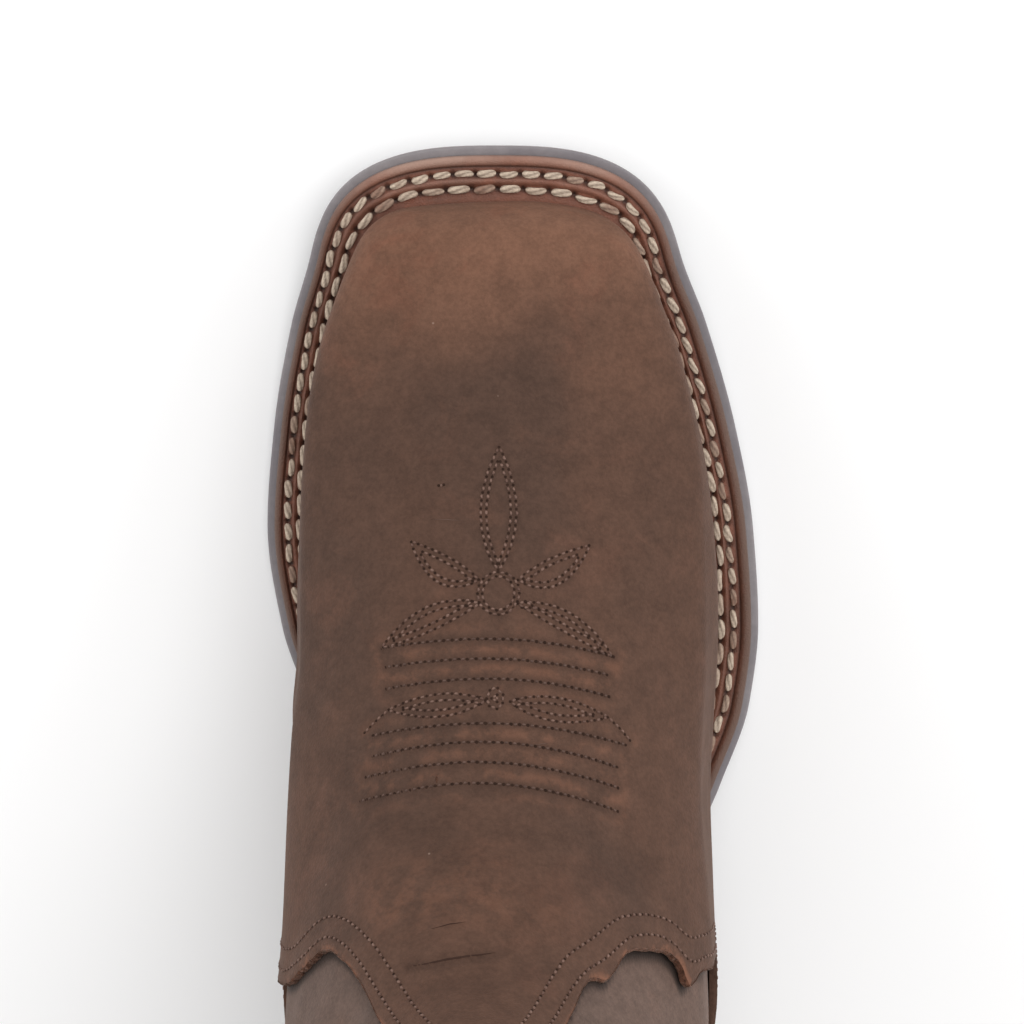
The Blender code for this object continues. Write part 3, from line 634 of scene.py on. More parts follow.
def make_grain_group():
    """Fine creased grain and nap of leather, as a height."""
    tree, given, out = group(
        "leather_grain",
        [("Vector", "Vector", None), ("Grain", "Value", 900.0), ("Creases", "Value", 90.0)],
        [("Height", "Value")],
    )
    bent = noise_of(tree, given["Vector"], given["Creases"], 4.0, 0.6)
    inputs = {"Vector": given["Vector"], "Scale": given["Grain"]}
    cells = node(tree, "TexVoronoi", inputs, feature="DISTANCE_TO_EDGE")
    pores = ramp_of(tree, cells.outputs["Distance"], 0.0, 0.22)
    nap = noise_of(tree, given["Vector"], 1900.0, 2.0, 0.8)
    height = math_of(tree, "MULTIPLY_ADD", bent, 1.6, math_of(tree, "MULTIPLY", pores, 0.5))
    height = math_of(tree, "MULTIPLY_ADD", nap, 0.7, height)
    tree.links.new(height, out["Height"])
    return tree


def make_scuff_group():
    """Short pale scratches and rubs, stretched along the boot, as a mask."""
    tree, given, out = group(
        "scuffs", [("Vector", "Vector", None), ("Amount", "Value", 0.5)], [("Mask", "Value")]
    )
    warped = noise_of(tree, given["Vector"], 22.0, 2.0)
    turned = {0: given["Vector"], 2: (0.2, 0.1, 0.75), 3: (70.0, 520.0, 260.0)}
    lines = noise_of(tree, node(tree, "Mapping", turned).outputs[0], 1.0, 3.0, 0.65, 0.5)
    mask = math_of(tree, "MULTIPLY", ramp_of(tree, lines, 0.64, 0.74), ramp_of(tree, warped, 0.5, 0.62))
    tree.links.new(math_of(tree, "MULTIPLY", mask, given["Amount"], clamp=True), out["Mask"])
    return tree


MOTTLE = make_mottle_group()
GRAIN = make_grain_group()
SCUFFS = make_scuff_group()


def finish_of(name, roughness, specular, sheen=0.0, coat=0.0, diffuse=(0.1, 0.1, 0.1)):
    """A material with its shader's steady values; gives it, the tree, the shader and the boot's places."""
    made = bpy.data.materials.new(name)
    made.use_nodes = True
    made.diffuse_color = colour(diffuse)
    tree = made.node_tree
    shader = tree.nodes["Principled BSDF"]
    for socket, value in (
        ("Roughness", roughness),
        ("Specular IOR Level", specular),
        ("Sheen Weight", sheen),
        ("Sheen Roughness", 0.25),
        ("Sheen Tint", colour((1.0, 0.72, 0.58))),
        ("Coat Weight", coat),
    ):
        shader.inputs[socket].default_value = value
    place = node(tree, "TexCoord").outputs["Object"]
    return made, tree, shader, place


def mask_of(tree, name):
    return node(tree, "Attribute", attribute_name=name, attribute_type="GEOMETRY").outputs["Fac"]


def join_looks(tree, shader, toned, height=None, depth=0.0):
    """Join a material's tone, and its fine height of that depth, to its shader."""
    tree.links.new(toned, shader.inputs["Base Color"])
    if height is not None:
        bump = node(tree, "Bump", {"Height": height, "Distance": depth, "Strength": 1.0})
        tree.links.new(bump.outputs[0], shader.inputs["Normal"])


def mottled(tree, place, base, dark, warm, clouds, patches, specks):
    """The outputs of the mottle group at that place, for three tones."""
    tones = {"Base": colour(base), "Dark": colour(dark), "Warm": colour(warm)}
    sizes = {"Clouds": clouds, "Patches": patches, "Specks": specks}
    return placed_group(tree, MOTTLE, {"Vector": place, **tones, **sizes})


def grained(tree, place, grain, creases):
    return placed_group(tree, GRAIN, {"Vector": place, "Grain": grain, "Creases": creases})["Height"]


def scaled(tone, *factors):
    """A tone times one factor, or times one for each of its parts."""
    return tuple(part * factor for part, factor in zip(tone, factors * 3 if len(factors) == 1 else factors))


# Oiled leather: sizes of its patches, pores and creases, as scales of their patterns
PATCHES = 55.0
GRAIN_SIZE = 900.0
CREASE_SIZE = 90.0
# The orange tone of rubbed wear, also used for the painted sheen along the leather's foot.
WEAR_AND_SHEEN_TONE = (0.27, 0.118, 0.070)
TOE_FROM = -0.192
TOE_TO = -0.236


def leather(
    name, base, dark, warm, clouds=16.0, depth=0.00008, sheen=0.08, scuffs=0.4, specks=1.0,
    toe=None, marked=True,
):
    """Oiled, distressed leather. toe is its lighter tone over the toe; marked reads the masks of the mesh."""
    roughness = 0.74
    made, tree, shader, place = finish_of(name, roughness, 0.14, sheen, diffuse=base)
    mottle = mottled(tree, place, base, dark, warm, clouds, PATCHES, specks)
    toned = mottle["Color"]
    if toe:
        along = node(tree, "SeparateXYZ", {0: place}).outputs[1]
        wander = math_of(tree, "MULTIPLY_ADD", noise_of(tree, place, 30.0, 3.0), 0.05, along)
        front = ramp_of(tree, wander, TOE_FROM, TOE_TO)
        lit = mottled(tree, place, toe, scaled(toe, 0.8), scaled(toe, 1.08, 0.86, 0.8), 24.0, PATCHES, specks)
        toned = blend_of(tree, front, toned, lit["Color"])
    rubs = placed_group(tree, SCUFFS, {"Vector": place, "Amount": scuffs})["Mask"]
    pale = colour(tuple(min(1, 1.55 * part + 0.01) for part in base))
    toned = blend_of(tree, math_of(tree, "MULTIPLY", rubs, 0.5), toned, pale)
    if marked:
        broken = ramp_of(tree, noise_of(tree, place, 160.0, 4.0, 0.7), 0.42, 0.62)
        # This mask carries rubbed wear, and along the leather's foot painted sheen as well.
        wear_and_sheen = math_of(tree, "MULTIPLY", mask_of(tree, "wear_and_sheen"), broken)
        toned = blend_of(tree, math_of(tree, "MULTIPLY", wear_and_sheen, 0.8, clamp=True), toned, colour(WEAR_AND_SHEEN_TONE))
        toned = blend_of(tree, mask_of(tree, "shadow"), toned, colour(dark, 0.42))
    rough = math_of(tree, "MULTIPLY_ADD", mottle["Rubbed"], -0.1, roughness)
    tree.links.new(rough, shader.inputs["Roughness"])
    join_looks(tree, shader, toned, grained(tree, place, GRAIN_SIZE, CREASE_SIZE), depth)
    return made


def raw_leather(name, tone, deep):
    """The cut edge of leather, with its loose fibres."""
    made, tree, shader, place = finish_of(name, 0.95, 0.1, 0.3, diffuse=tone)
    fibres = noise_of(tree, place, 700.0, 5.0, 0.8)
    clumps = noise_of(tree, place, 260.0, 4.0, 0.7)
    toned = blend_of(tree, ramp_of(tree, fibres, 0.35, 0.65), colour(deep), colour(tone))
    toned = blend_of(tree, ramp_of(tree, clumps, 0.55, 0.7), toned, colour(tone, 1.25))
    join_looks(tree, shader, toned, math_of(tree, "ADD", fibres, clumps), 0.0006)
    return made


def thread(name, clean, dirt_and_shade, soil_from, bump=0.00012, ply_shaded=False):
    """Thread: each stitch has its own tone, and the dirtier ones take the leather's colour; the same dark
    tone paints shade between the plies.
    """
    made, tree, shader, place = finish_of(name, 0.7, 0.3, 0.2, diffuse=clean)
    tone = mask_of(tree, "tone")
    streaks = noise_of(tree, place, 1500.0, 3.0, 0.7)
    dirt = ramp_of(tree, noise_of(tree, place, 120.0, 4.0, 0.65), 0.5, 0.7, 0.0, 0.5)
    amount = math_of(tree, "ADD", ramp_of(tree, tone, soil_from, 1.0, 0.0, 0.75), dirt)
    toned = blend_of(tree, math_of(tree, "MINIMUM", amount, 0.9), colour(clean), colour(dirt_and_shade))
    toned = blend_of(tree, ramp_of(tree, streaks, 0.35, 0.7, 0.35, 0.0), toned, colour(dirt_and_shade, 0.35))
    if ply_shaded:
        # Painted shade in the crevices between the plies.
        between = math_of(tree, "MULTIPLY", math_of(tree, "POWER", mask_of(tree, "groove"), 2.0), 0.75)
        toned = blend_of(tree, between, toned, colour(dirt_and_shade, 0.3))
    join_looks(tree, shader, toned, streaks, bump)
    return made


def rubber(name, tone, pale):
    """Moulded rubber with a dusty bloom and faint upright buffing lines at its edge."""
    made, tree, shader, place = finish_of(name, 0.75, 0.35, 0.05, diffuse=tone)
    bloom = noise_of(tree, place, 38.0, 5.0, 0.6)
    fine = noise_of(tree, place, 420.0, 4.0, 0.7)
    upright = node(tree, "Mapping", {0: place, 3: (900.0, 900.0, 60.0)}).outputs[0]
    lines = noise_of(tree, upright, 1.0, 2.0)
    toned = blend_of(tree, ramp_of(tree, bloom, 0.35, 0.7), colour(tone), colour(pale))
    toned = blend_of(tree, ramp_of(tree, fine, 0.3, 0.75, 0.25, 0.0), toned, colour(tone, 0.6))
    join_looks(tree, shader, toned, math_of(tree, "ADD", fine, lines), 0.00008)
    return made


def welt_leather(name, tone, lip, deep):
    """Edge-dyed welt leather: pale burnished lip, red-brown top, and painted shade in its grooves and thread
    holes.
    """
    made, tree, shader, place = finish_of(name, 0.55, 0.35, 0.1, diffuse=tone)
    warm = scaled(tone, 1.25, 1.1, 1)
    toned = mottled(tree, place, tone, scaled(tone, 0.55), warm, 40.0, 150.0, 0.4)["Color"]
    rub = ramp_of(tree, noise_of(tree, place, 45.0, 4.0, 0.6), 0.3, 0.6, 0.45, 1.0)
    lip_amount = math_of(tree, "MULTIPLY", mask_of(tree, "lip"), rub)
    side_amount = math_of(tree, "MULTIPLY", mask_of(tree, "side"), 0.95)
    toned = blend_of(tree, lip_amount, toned, colour(lip))
    toned = blend_of(tree, side_amount, toned, colour((0.105, 0.062, 0.045)))
    toned = blend_of(tree, mask_of(tree, "shadow"), toned, colour(deep))
    join_looks(tree, shader, toned, grained(tree, place, 1300.0, 160.0), 0.0001)
    return made


def stacked_leather(name, tone, seam):
    """Lifts of sole leather: layer by layer tones, with dark glue lines between them."""
    made, tree, shader, place = finish_of(name, 0.5, 0.4, 0.0, coat=0.12, diffuse=tone)
    toned = mottled(tree, place, tone, scaled(tone, 0.6), scaled(tone, 1.5), 60.0, 200.0, 0.0)["Color"]
    flat = node(tree, "Mapping", {0: place, 3: (30.0, 30.0, 1500.0)}).outputs[0]
    layers = noise_of(tree, flat, 1.0, 4.0, 0.7)
    toned = blend_of(tree, ramp_of(tree, layers, 0.35, 0.7, 0.45, 0.0), toned, colour(seam))
    toned = blend_of(tree, mask_of(tree, "shadow"), toned, colour(seam, 0.3))
    join_looks(tree, shader, toned, layers, 0.00015)
    return made


def plain_mark(name, dark, pale):
    """A matt finish for scratches, and for the painted shade of needle holes and folds."""
    made, tree, shader, place = finish_of(name, 0.95, 0.05, diffuse=dark)
    join_looks(tree, shader, blend_of(tree, noise_of(tree, place, 500.0), colour(dark), colour(pale)))
    return made


SKIN = Skin()
TOP_LEVEL = len(LEVELS) - 1

# Finishes, with base tones as linear red, green, blue
VAMP_FINISH = leather(
    "vamp_leather", (0.088, 0.046, 0.031), (0.063, 0.036, 0.026), (0.112, 0.052, 0.033),
    toe=(0.160, 0.078, 0.049),
)
SHAFT_FINISH = leather(
    "shaft_leather", (0.120, 0.078, 0.062), (0.088, 0.062, 0.052), (0.150, 0.085, 0.062),
    clouds=11.0, scuffs=0.3,
)
TRIM_FINISH = leather(
    "trim_leather", (0.095, 0.055, 0.042), (0.066, 0.042, 0.034), (0.14, 0.07, 0.05), clouds=30.0, scuffs=0.3,
)
LINING_FINISH = leather(
    "lining_leather", (0.30, 0.20, 0.13), (0.24, 0.155, 0.10), (0.34, 0.21, 0.13), clouds=14.0, depth=0.00006,
    sheen=0.05, scuffs=0.1, specks=0.2, marked=False,
)
SOCK_FINISH = leather(
    "insole_leather", (0.33, 0.215, 0.13), (0.25, 0.16, 0.10), (0.36, 0.22, 0.13), clouds=20.0, depth=0.00006,
    sheen=0.0, scuffs=0.2, specks=0.2, marked=False,
)
# The cut edge's dark tone is partly its own colour and partly painted shade for its shaded face.
RAW_FINISH = raw_leather("raw_cut_edge", (0.17, 0.078, 0.050), (0.045, 0.022, 0.015))
WELT_FINISH = welt_leather("welt_leather", (0.205, 0.074, 0.044), (0.33, 0.205, 0.158), (0.034, 0.017, 0.012))
STACK_FINISH = stacked_leather("stacked_leather", (0.125, 0.062, 0.036), (0.035, 0.018, 0.012))
SOLE_FINISH = rubber("outsole_rubber", (0.185, 0.168, 0.178), (0.25, 0.228, 0.232))
CAP_FINISH = rubber("cap_rubber", (0.030, 0.028, 0.028), (0.055, 0.050, 0.048))
WELT_THREAD = thread("welt_thread", (0.66, 0.54, 0.42), (0.27, 0.15, 0.105), 0.5, ply_shaded=True)
TONE_THREAD = thread("tone_thread", (0.20, 0.118, 0.090), (0.11, 0.056, 0.040), 0.2, bump=0.00005)
DIM_THREAD = thread("dim_thread", (0.115, 0.066, 0.050), (0.075, 0.040, 0.029), 0.2, bump=0.00005)
HOLE_SHADE_FINISH = plain_mark("thread_hole_shade", (0.014, 0.008, 0.006), (0.045, 0.025, 0.018))
FOLD_SHADE_FINISH = plain_mark("fold_line_shade", (0.030, 0.016, 0.012), (0.055, 0.031, 0.023))
SCRATCH_FINISH = plain_mark("fine_scratch", (0.125, 0.080, 0.064), (0.095, 0.056, 0.042))


# The toe's stitched pattern as seen from above, in mm. A petal's upper and lower are how far its two sides
# bulge from the line between its base and its tip; a ring has its centre and half its width and length.
PETALS = table(
    "base tip upper lower",
    ((-0.4, -184.2), (-0.6, -210.8), 4.1, -4.1),
    ((4.0, -182.2), (19.6, -189.8), -1.2, 4.7),
    ((-5.0, -182.0), (-21.4, -188.5), 1.2, -4.7),
    ((3.8, -177.2), (26.2, -166.5), -4.2, 0.6),
    ((-4.9, -177.0), (-26.6, -164.2), 3.8, -0.2),
    ((2.4, -157.2), (24.5, -154.0), -2.6, 1.9),
    ((-3.2, -156.8), (-25.5, -151.6), 2.6, -2.1),
)
TAILS = (
    ((24.5, -154.0), (27.4, -151.4), (30.0, -148.6)),
    ((-25.5, -151.6), (-28.0, -149.2), (-30.6, -146.0)),
)
RINGS = (
    ((-0.5, -179.3), 4.8, 4.5),
    ((-0.5, -179.3), 3.7, 3.6),
    ((0.2, -157.6), 1.9, 2.2),
    ((0.2, -157.6), 0.8, 0.9),
)
ARCS = (
    ((26.2, -166.5), (1.4, -169.8), (-27.0, -164.1)),
    ((25.2, -162.7), (1.4, -165.7), (-25.4, -160.5)),
    ((25.1, -158.2), (1.4, -161.6), (-25.8, -155.9)),
    ((28.0, -148.4), (1.4, -152.6), (-29.6, -145.2)),
    ((27.9, -144.3), (1.4, -148.9), (-27.5, -141.1)),
    ((29.5, -140.0), (2.0, -145.0), (-27.7, -136.9)),
    ((30.7, -135.1), (4.5, -141.0), (-27.6, -132.3)),
)
ROW_APART = 1.3
TOE_PITCH = 1.95


def petal_side(petal, bulge, other, inset):
    """One side of a petal from base to tip, bulged from its middle line and inset towards the other."""
    base, tip = np.array(petal.base), np.array(petal.tip)
    way = unit(tip - base)
    side = np.array((-way[1], way[0]))
    t = np.linspace(0, 1, 60)[:, None]
    swell = np.sin(math.pi * t**0.9) ** 0.85
    inward = -math.copysign(inset, bulge - other)
    line = base + t * (tip - base) + side * bulge * swell
    if inset:
        trim = inset * 1.6 / np.linalg.norm(tip - base)
        keep = (t[:, 0] > 0.5 * trim) & (t[:, 0] < 1 - 1.5 * trim)
        line = (line + side * inward)[keep]
    return line


def arc_line(ends):
    """An arched row through three places."""
    (x0, y0), (x1, y1), (x2, y2) = ends
    x = np.linspace(x0, x2, 80)
    y = np.polyval(np.polyfit((x0, x1, x2), (y0, y1, y2), 2), x)
    return np.column_stack([x, y])


def ring_line(centre, wide, long):
    turn = np.linspace(0, 2 * math.pi, 60)
    return np.column_stack([centre[0] + wide * np.cos(turn), centre[1] + long * np.sin(turn)])


def toe_rows():
    """Every row of the toe stitching as seen from above: its line, and how deep it is drawn in."""
    rows = []
    for petal in PETALS:
        for bulge, other in ((petal.upper, petal.lower), (petal.lower, petal.upper)):
            rows.append((petal_side(petal, bulge, other, 0), 0.16))
            rows.append((petal_side(petal, bulge, other, ROW_APART), 0.12))
    rows += [(np.array(line, float), 0.16) for line in TAILS]
    rows += [(ring_line(*ring), 0.15) for ring in RINGS]
    rows += [(arc_line(ends), 0.24) for ends in ARCS]
    return [(line * MM, depth * MM) for line, depth in rows]


def distance_to(points, line):
    """How far each point (x, y) is from a polyline."""
    best = np.full(len(points), 1e9)
    for a, b in zip(line[:-1], line[1:]):
        step = b - a
        t = np.clip(((points - a) @ step) / max(step @ step, 1e-18), 0, 1)
        best = np.minimum(best, np.linalg.norm(points - a - t[:, None] * step, axis=1))
    return best


def hollow(distance, width):
    return np.exp(-((distance / width) ** 2))


# Creases where the leather has been worked at the throat: ends, depth and width, seen from above, in mm
CREASES = table(
    "line depth width",
    (((19.0, -109.3), (12.0, -110.6), (4.0, -111.8), (-2.5, -112.2)), 0.6, 0.8),
    (((17.0, -106.2), (8.0, -107.6), (-4.0, -108.6), (-12.0, -107.9)), 0.3, 1.6),
    (((24.0, -121.0), (14.0, -124.6), (2.0, -125.6)), -0.4, 5.0),
    (((26.0, -116.0), (14.0, -118.6), (0.0, -119.4), (-14.0, -117.6)), -0.45, 4.0),
    (((34.0, -139.0), (20.0, -131.5), (8.0, -129.5)), 0.3, 3.5),
    (((-8.0, -119.0), (-20.0, -122.0), (-33.0, -120.0)), 0.35, 4.0),
)


def soft_waves(points, seed, size, height):
    """Slow uneven swelling of worked leather: a few crossing waves."""
    chance = np.random.default_rng(seed)
    total = np.zeros(len(points))
    for _ in range(9):
        way = unit(chance.normal(size=3)) / (size * chance.uniform(0.6, 1.6))
        total += np.sin(points @ way * 2 * math.pi + chance.uniform(0, 6.3))
    return total * height / 3


# The square toe's two corners and the outer ball are fuller than the last: place, reach and rise in mm
FILLED = (((30.0, -261.0), 11.0, 1.9), ((-33.0, -260.0), 11.0, 1.9), ((-47.5, -197.0), 24.0, 0.9))
FILLED_TOP = 30.0


def vamp_relief(points):
    """Rise of the vamp's face at each point, and its rubbed and shadowed places."""
    plan = points[:, :2]
    rise = soft_waves(points, 4, 38 * MM, 0.22 * MM)
    low = np.clip(2 - points[:, 2] / (FILLED_TOP * MM), 0, 1)
    for place, reach, height in FILLED:
        rise += height * MM * hollow(np.linalg.norm(plan - np.array(place) * MM, axis=1), reach * MM) * low
    wear_and_sheen = np.zeros(len(points))
    shadow = np.zeros(len(points))
    near = (np.abs(plan[:, 0]) < 42 * MM) & (plan[:, 1] > -216 * MM) & (plan[:, 1] < -124 * MM)
    near &= points[:, 2] > 45 * MM
    close = plan[near]
    for line, depth in toe_rows():
        distance = distance_to(close, line)
        rise[near] -= depth * hollow(distance, 0.9 * MM)
        if depth > 0.2 * MM:
            shadow[near] = np.maximum(shadow[near], 0.3 * hollow(distance, 1.0 * MM))
            wear_and_sheen[near] += 0.16 * hollow(distance - 2.2 * MM, 1.1 * MM)
        else:
            shadow[near] = np.maximum(shadow[near], 0.12 * hollow(distance, 0.8 * MM))
    for crease in CREASES:
        distance = distance_to(plan, np.array(crease.line) * MM)
        fade = hollow(distance, crease.width * MM) * (points[:, 2] > 60 * MM)
        rise -= crease.depth * MM * fade
        if crease.depth > 0:
            shadow = np.maximum(shadow, min(1, crease.depth) * 0.6 * fade)
        else:
            wear_and_sheen += 0.15 * fade
    return rise, np.clip(wear_and_sheen, 0, 1), np.clip(shadow, 0, 1)


def edge_rough(turns, seed, size):
    """Small uneven nibbles along a cut edge."""
    chance = np.random.default_rng(seed)
    total = np.zeros_like(turns)
    for waves, share in ((60, 0.3), (190, 0.4), (420, 0.5)):
        total += share * np.sin(turns * waves * chance.uniform(0.9, 1.1) + chance.uniform(0, 6.3))
    return total * size


# How the vamp's edge differs from the CAD's even one: where a side dips, or rises if the depth is negative
Dip = namedtuple("Dip", "share reach depth")
INNER_DIPS = (Dip(0.795, 0.050, 0.15),)
OUTER_DIPS = (Dip(0.640, 0.020, -0.26), Dip(0.706, 0.040, 0.11), Dip(0.820, 0.020, -0.28))
FUZZY_FROM = 0.64


def edge_tops(edge_rows, turns):
    """The level of a laid leather's cut edge at each turn."""
    edge = curve([row.share for row in edge_rows], [row.level for row in edge_rows])
    shares = 1 - np.abs(np.abs(turns) - 1)
    if edge_rows is not VAMP_EDGE:
        return edge(shares)
    outer = (turns > 1) | (turns < 0)
    inner_depth, outer_depth = (
        sum(dip.depth * hollow(shares - dip.share, dip.reach) for dip in dips)
        for dips in (INNER_DIPS, OUTER_DIPS)
    )
    return edge(shares) - np.where(outer, outer_depth, inner_depth)


# The cut edge of laid leather: its rounding, the rubbed band along it, and the raw rim's heights over the
# leather's underside in mm, each with how many levels it reaches past the edge. Along the leather's foot at
# the
# welt lies a warm band of painted sheen: how strong it is, how far up, and how wide.
ROUND_DEPTH = 0.35 * MM
ROUND_REACH = 0.8 * MM
EDGE_RUB = 0.8
EDGE_RUB_REACH = 1.25 * MM
FOOT_SHEEN = 0.2
FOOT_SHEEN_PLACE = 3 * MM
FOOT_SHEEN_REACH = 3.5 * MM
RIM_ROWS = ((1.9, 0.016), (1.3, 0.024), (0.7, 0.02), (0.0, 0.0))
UNDER_ROWS = 12


def laid_leather(name, turns, edge_rows, rows, relief, node, crowding=0.0):
    """A piece of leather laid on the shell from the welt up to its cut edge, as one closed body."""
    tops = edge_tops(edge_rows, turns) + edge_rough(turns, 7, 0.012)
    t = np.linspace(0, 1, 2001)
    density = 1 + crowding * hollow(t - 0.5, 0.27)
    sums = np.cumsum(density)
    share_up = np.interp(np.linspace(sums[0], sums[-1], rows + 1), sums, t)
    levels = WALL_LEVEL + share_up[:, None] * (tops - WALL_LEVEL)
    outer = SKIN.at(levels, turns, UNDER_GAP + OVERLAY)
    normals = unit(SKIN.at(levels, turns, 1.0) - SKIN.at(levels, turns, 0.0))
    rise, wear_and_sheen, shadow = relief(outer.reshape(-1, 3))
    reach = np.linalg.norm(outer[1:] - outer[:-1], axis=2)
    from_edge = np.vstack([reach[::-1].cumsum(axis=0)[::-1], np.zeros(len(turns))])
    keep = np.clip(from_edge / (2 * MM), 0, 1)
    rounding = -ROUND_DEPTH * np.clip(1 - from_edge / ROUND_REACH, 0, 1) ** 2
    outer += ((rise.reshape(keep.shape) * keep) + rounding)[..., None] * normals
    fuzzy = 1 - np.abs(np.abs(turns) - 1) > FUZZY_FROM
    from_foot = np.vstack([np.zeros(len(turns)), reach.cumsum(axis=0)])
    wear_and_sheen = wear_and_sheen.reshape(keep.shape) + fuzzy * EDGE_RUB * hollow(from_edge, EDGE_RUB_REACH)
    # Painted sheen: a warm band along the leather's foot, for the light its steep sides catch at a grazing
    # view.
    wear_and_sheen = wear_and_sheen + FOOT_SHEEN * hollow(from_foot - FOOT_SHEEN_PLACE, FOOT_SHEEN_REACH)
    rim = []
    for k, (up, beyond) in enumerate(RIM_ROWS):
        wobble = edge_rough(turns, 11 + k, 0.014)
        rim.append(SKIN.at(tops + beyond + wobble, turns, UNDER_GAP + up * MM))
    under_levels = np.linspace(1, 0, UNDER_ROWS)[1:, None] * (tops - WALL_LEVEL) + WALL_LEVEL
    under = SKIN.at(under_levels, turns, UNDER_GAP)
    points = np.concatenate([outer, rim, under])
    masks = {}
    for label, values in (("wear_and_sheen", wear_and_sheen), ("shadow", shadow.reshape(keep.shape))):
        full = np.zeros(points.shape[:2])
        full[: rows + 1] = values
        masks[label] = np.clip(full, 0, 1)
    count, columns = points.shape[:2]
    faces = grid_faces(count, columns, closed_rows=True)
    kinds = np.repeat(np.arange(count), columns - 1)
    kinds = ((kinds >= rows) & (kinds < rows + len(RIM_ROWS)) & np.tile(fuzzy[:-1], count)).astype(int)
    for column_end in (0, columns - 1):
        faces.append([r * columns + column_end for r in range(count)])
    kinds = np.concatenate([kinds, [0, 0]])
    return piece(name, points, faces, [VAMP_FINISH, RAW_FINISH], node, masks, kinds)


# How far each laid leather stops short of the side, as a share of half the boot's round
BUTT_SHARE = 0.0012


def make_vamp():
    turns = np.linspace(SIDE_SHARE + BUTT_SHARE, 2 - SIDE_SHARE - BUTT_SHARE, 361)
    return laid_leather("vamp_panel", turns, VAMP_EDGE, 244, vamp_relief, "vamp", crowding=1.4)


def counter_relief(points):
    return soft_waves(points, 9, 34 * MM, 0.2 * MM), np.zeros(len(points)), np.zeros(len(points))


def make_counter():
    turns = np.linspace(-SIDE_SHARE + BUTT_SHARE, SIDE_SHARE - BUTT_SHARE, 200)
    return laid_leather("counter_panel", turns, COUNTER_EDGE, 110, counter_relief, "heel_counter")


# The shade on the shaft along the laid leathers' edges, in levels
EDGE_SHADE = 0.07

# Heights on the shaft: where its folds begin and end, over how far they fade, and where the ankle's lie
FOLDS_FROM = 60 * MM
FOLDS_TO = 330 * MM
FOLDS_FADE = 60 * MM
ANKLE = 132 * MM
ANKLE_REACH = 22 * MM


def shaft_relief(points):
    """Slow folds of a tall shaft, strongest at the ankle and faint at the collar."""
    up = points[:, 2]
    height = np.clip((up - FOLDS_FROM) / FOLDS_FADE, 0, 1) * np.clip((FOLDS_TO - up) / FOLDS_FADE, 0, 1)
    rise = soft_waves(points * (1, 1, 1.4), 21, 70 * MM, 0.55 * MM) * height
    ankle = hollow(up - ANKLE, ANKLE_REACH)
    rise += soft_waves(points * (0.5, 0.6, 2.6), 33, 30 * MM, 0.5 * MM) * ankle * height
    return rise


def folded_at(levels, turns, offset):
    """A grid of points on the shaft with its folds, at an offset from its outer face."""
    rise = shaft_relief(SKIN.at(levels[:, None], turns).reshape(-1, 3)).reshape(len(levels), -1)
    return SKIN.at(levels[:, None], turns, rise + offset)


def make_shaft():
    """The hollow shell of the upper, its outer face leather and its inner face lining."""
    turns = np.arange(360) / 180
    bands = ((0, 9, 46), (9, 16, 141), (16, TOP_LEVEL, 40))
    levels = np.unique(np.concatenate([np.linspace(*band) for band in bands]))
    outer = folded_at(levels, turns, 0)
    inner = folded_at(np.linspace(TOP_LEVEL, 0, 40), turns, -SHELL)
    points = np.concatenate([outer, inner])
    faces = grid_faces(len(points), len(turns), closed_rows=True, closed_columns=True)
    rows = np.repeat(np.arange(len(points)), len(turns))
    kinds = (rows >= len(outer)).astype(int)
    share = 1 - np.abs(1 - turns)
    tops = np.where(share > SIDE_SHARE, edge_tops(VAMP_EDGE, turns), edge_tops(COUNTER_EDGE, turns))
    shadow = np.zeros(points.shape[:2])
    shadow[: len(outer)] = hollow(np.clip(levels[:, None] - tops - EDGE_SHADE, 0, None), EDGE_SHADE)
    masks = {"shadow": shadow, "wear_and_sheen": np.zeros_like(shadow)}
    finishes = [SHAFT_FINISH, LINING_FINISH]
    return piece("shaft_body", points, faces, finishes, "upper", masks, kinds)


# Welt: its rounds lie at insets from the sole's outline; each row of stitches has its own inset, in mm
ROW_INSETS = table(
    "station inner_side outer_side inner_row_in inner_row_out",
    (0.20, 4.6, 5.4, 7.6, 8.2),
    (0.40, 5.0, 6.0, 8.0, 9.0),
    (0.62, 5.2, 6.3, 8.2, 9.5),
    (0.74, 5.1, 6.2, 8.0, 8.8),
    (0.88, 4.9, 6.0, 7.9, 8.8),
    (0.95, 5.2, 5.6, 8.6, 8.9),
    (1.00, 6.1, 6.1, 9.8, 9.8),
)
WELT_OUTER = WELT_SET_BACK + OUTSOLE_BEVEL / 2


def row_inset(side, inner_row):
    """Inset of a stitch row from the sole's outline, as a function of the station."""
    names = ("inner_row_in", "inner_row_out") if inner_row else ("inner_side", "outer_side")
    stations = [row.station * SOLE_LENGTH for row in ROW_INSETS]
    return curve(stations, [getattr(row, names[0 if side > 0 else 1]) * MM for row in ROW_INSETS])


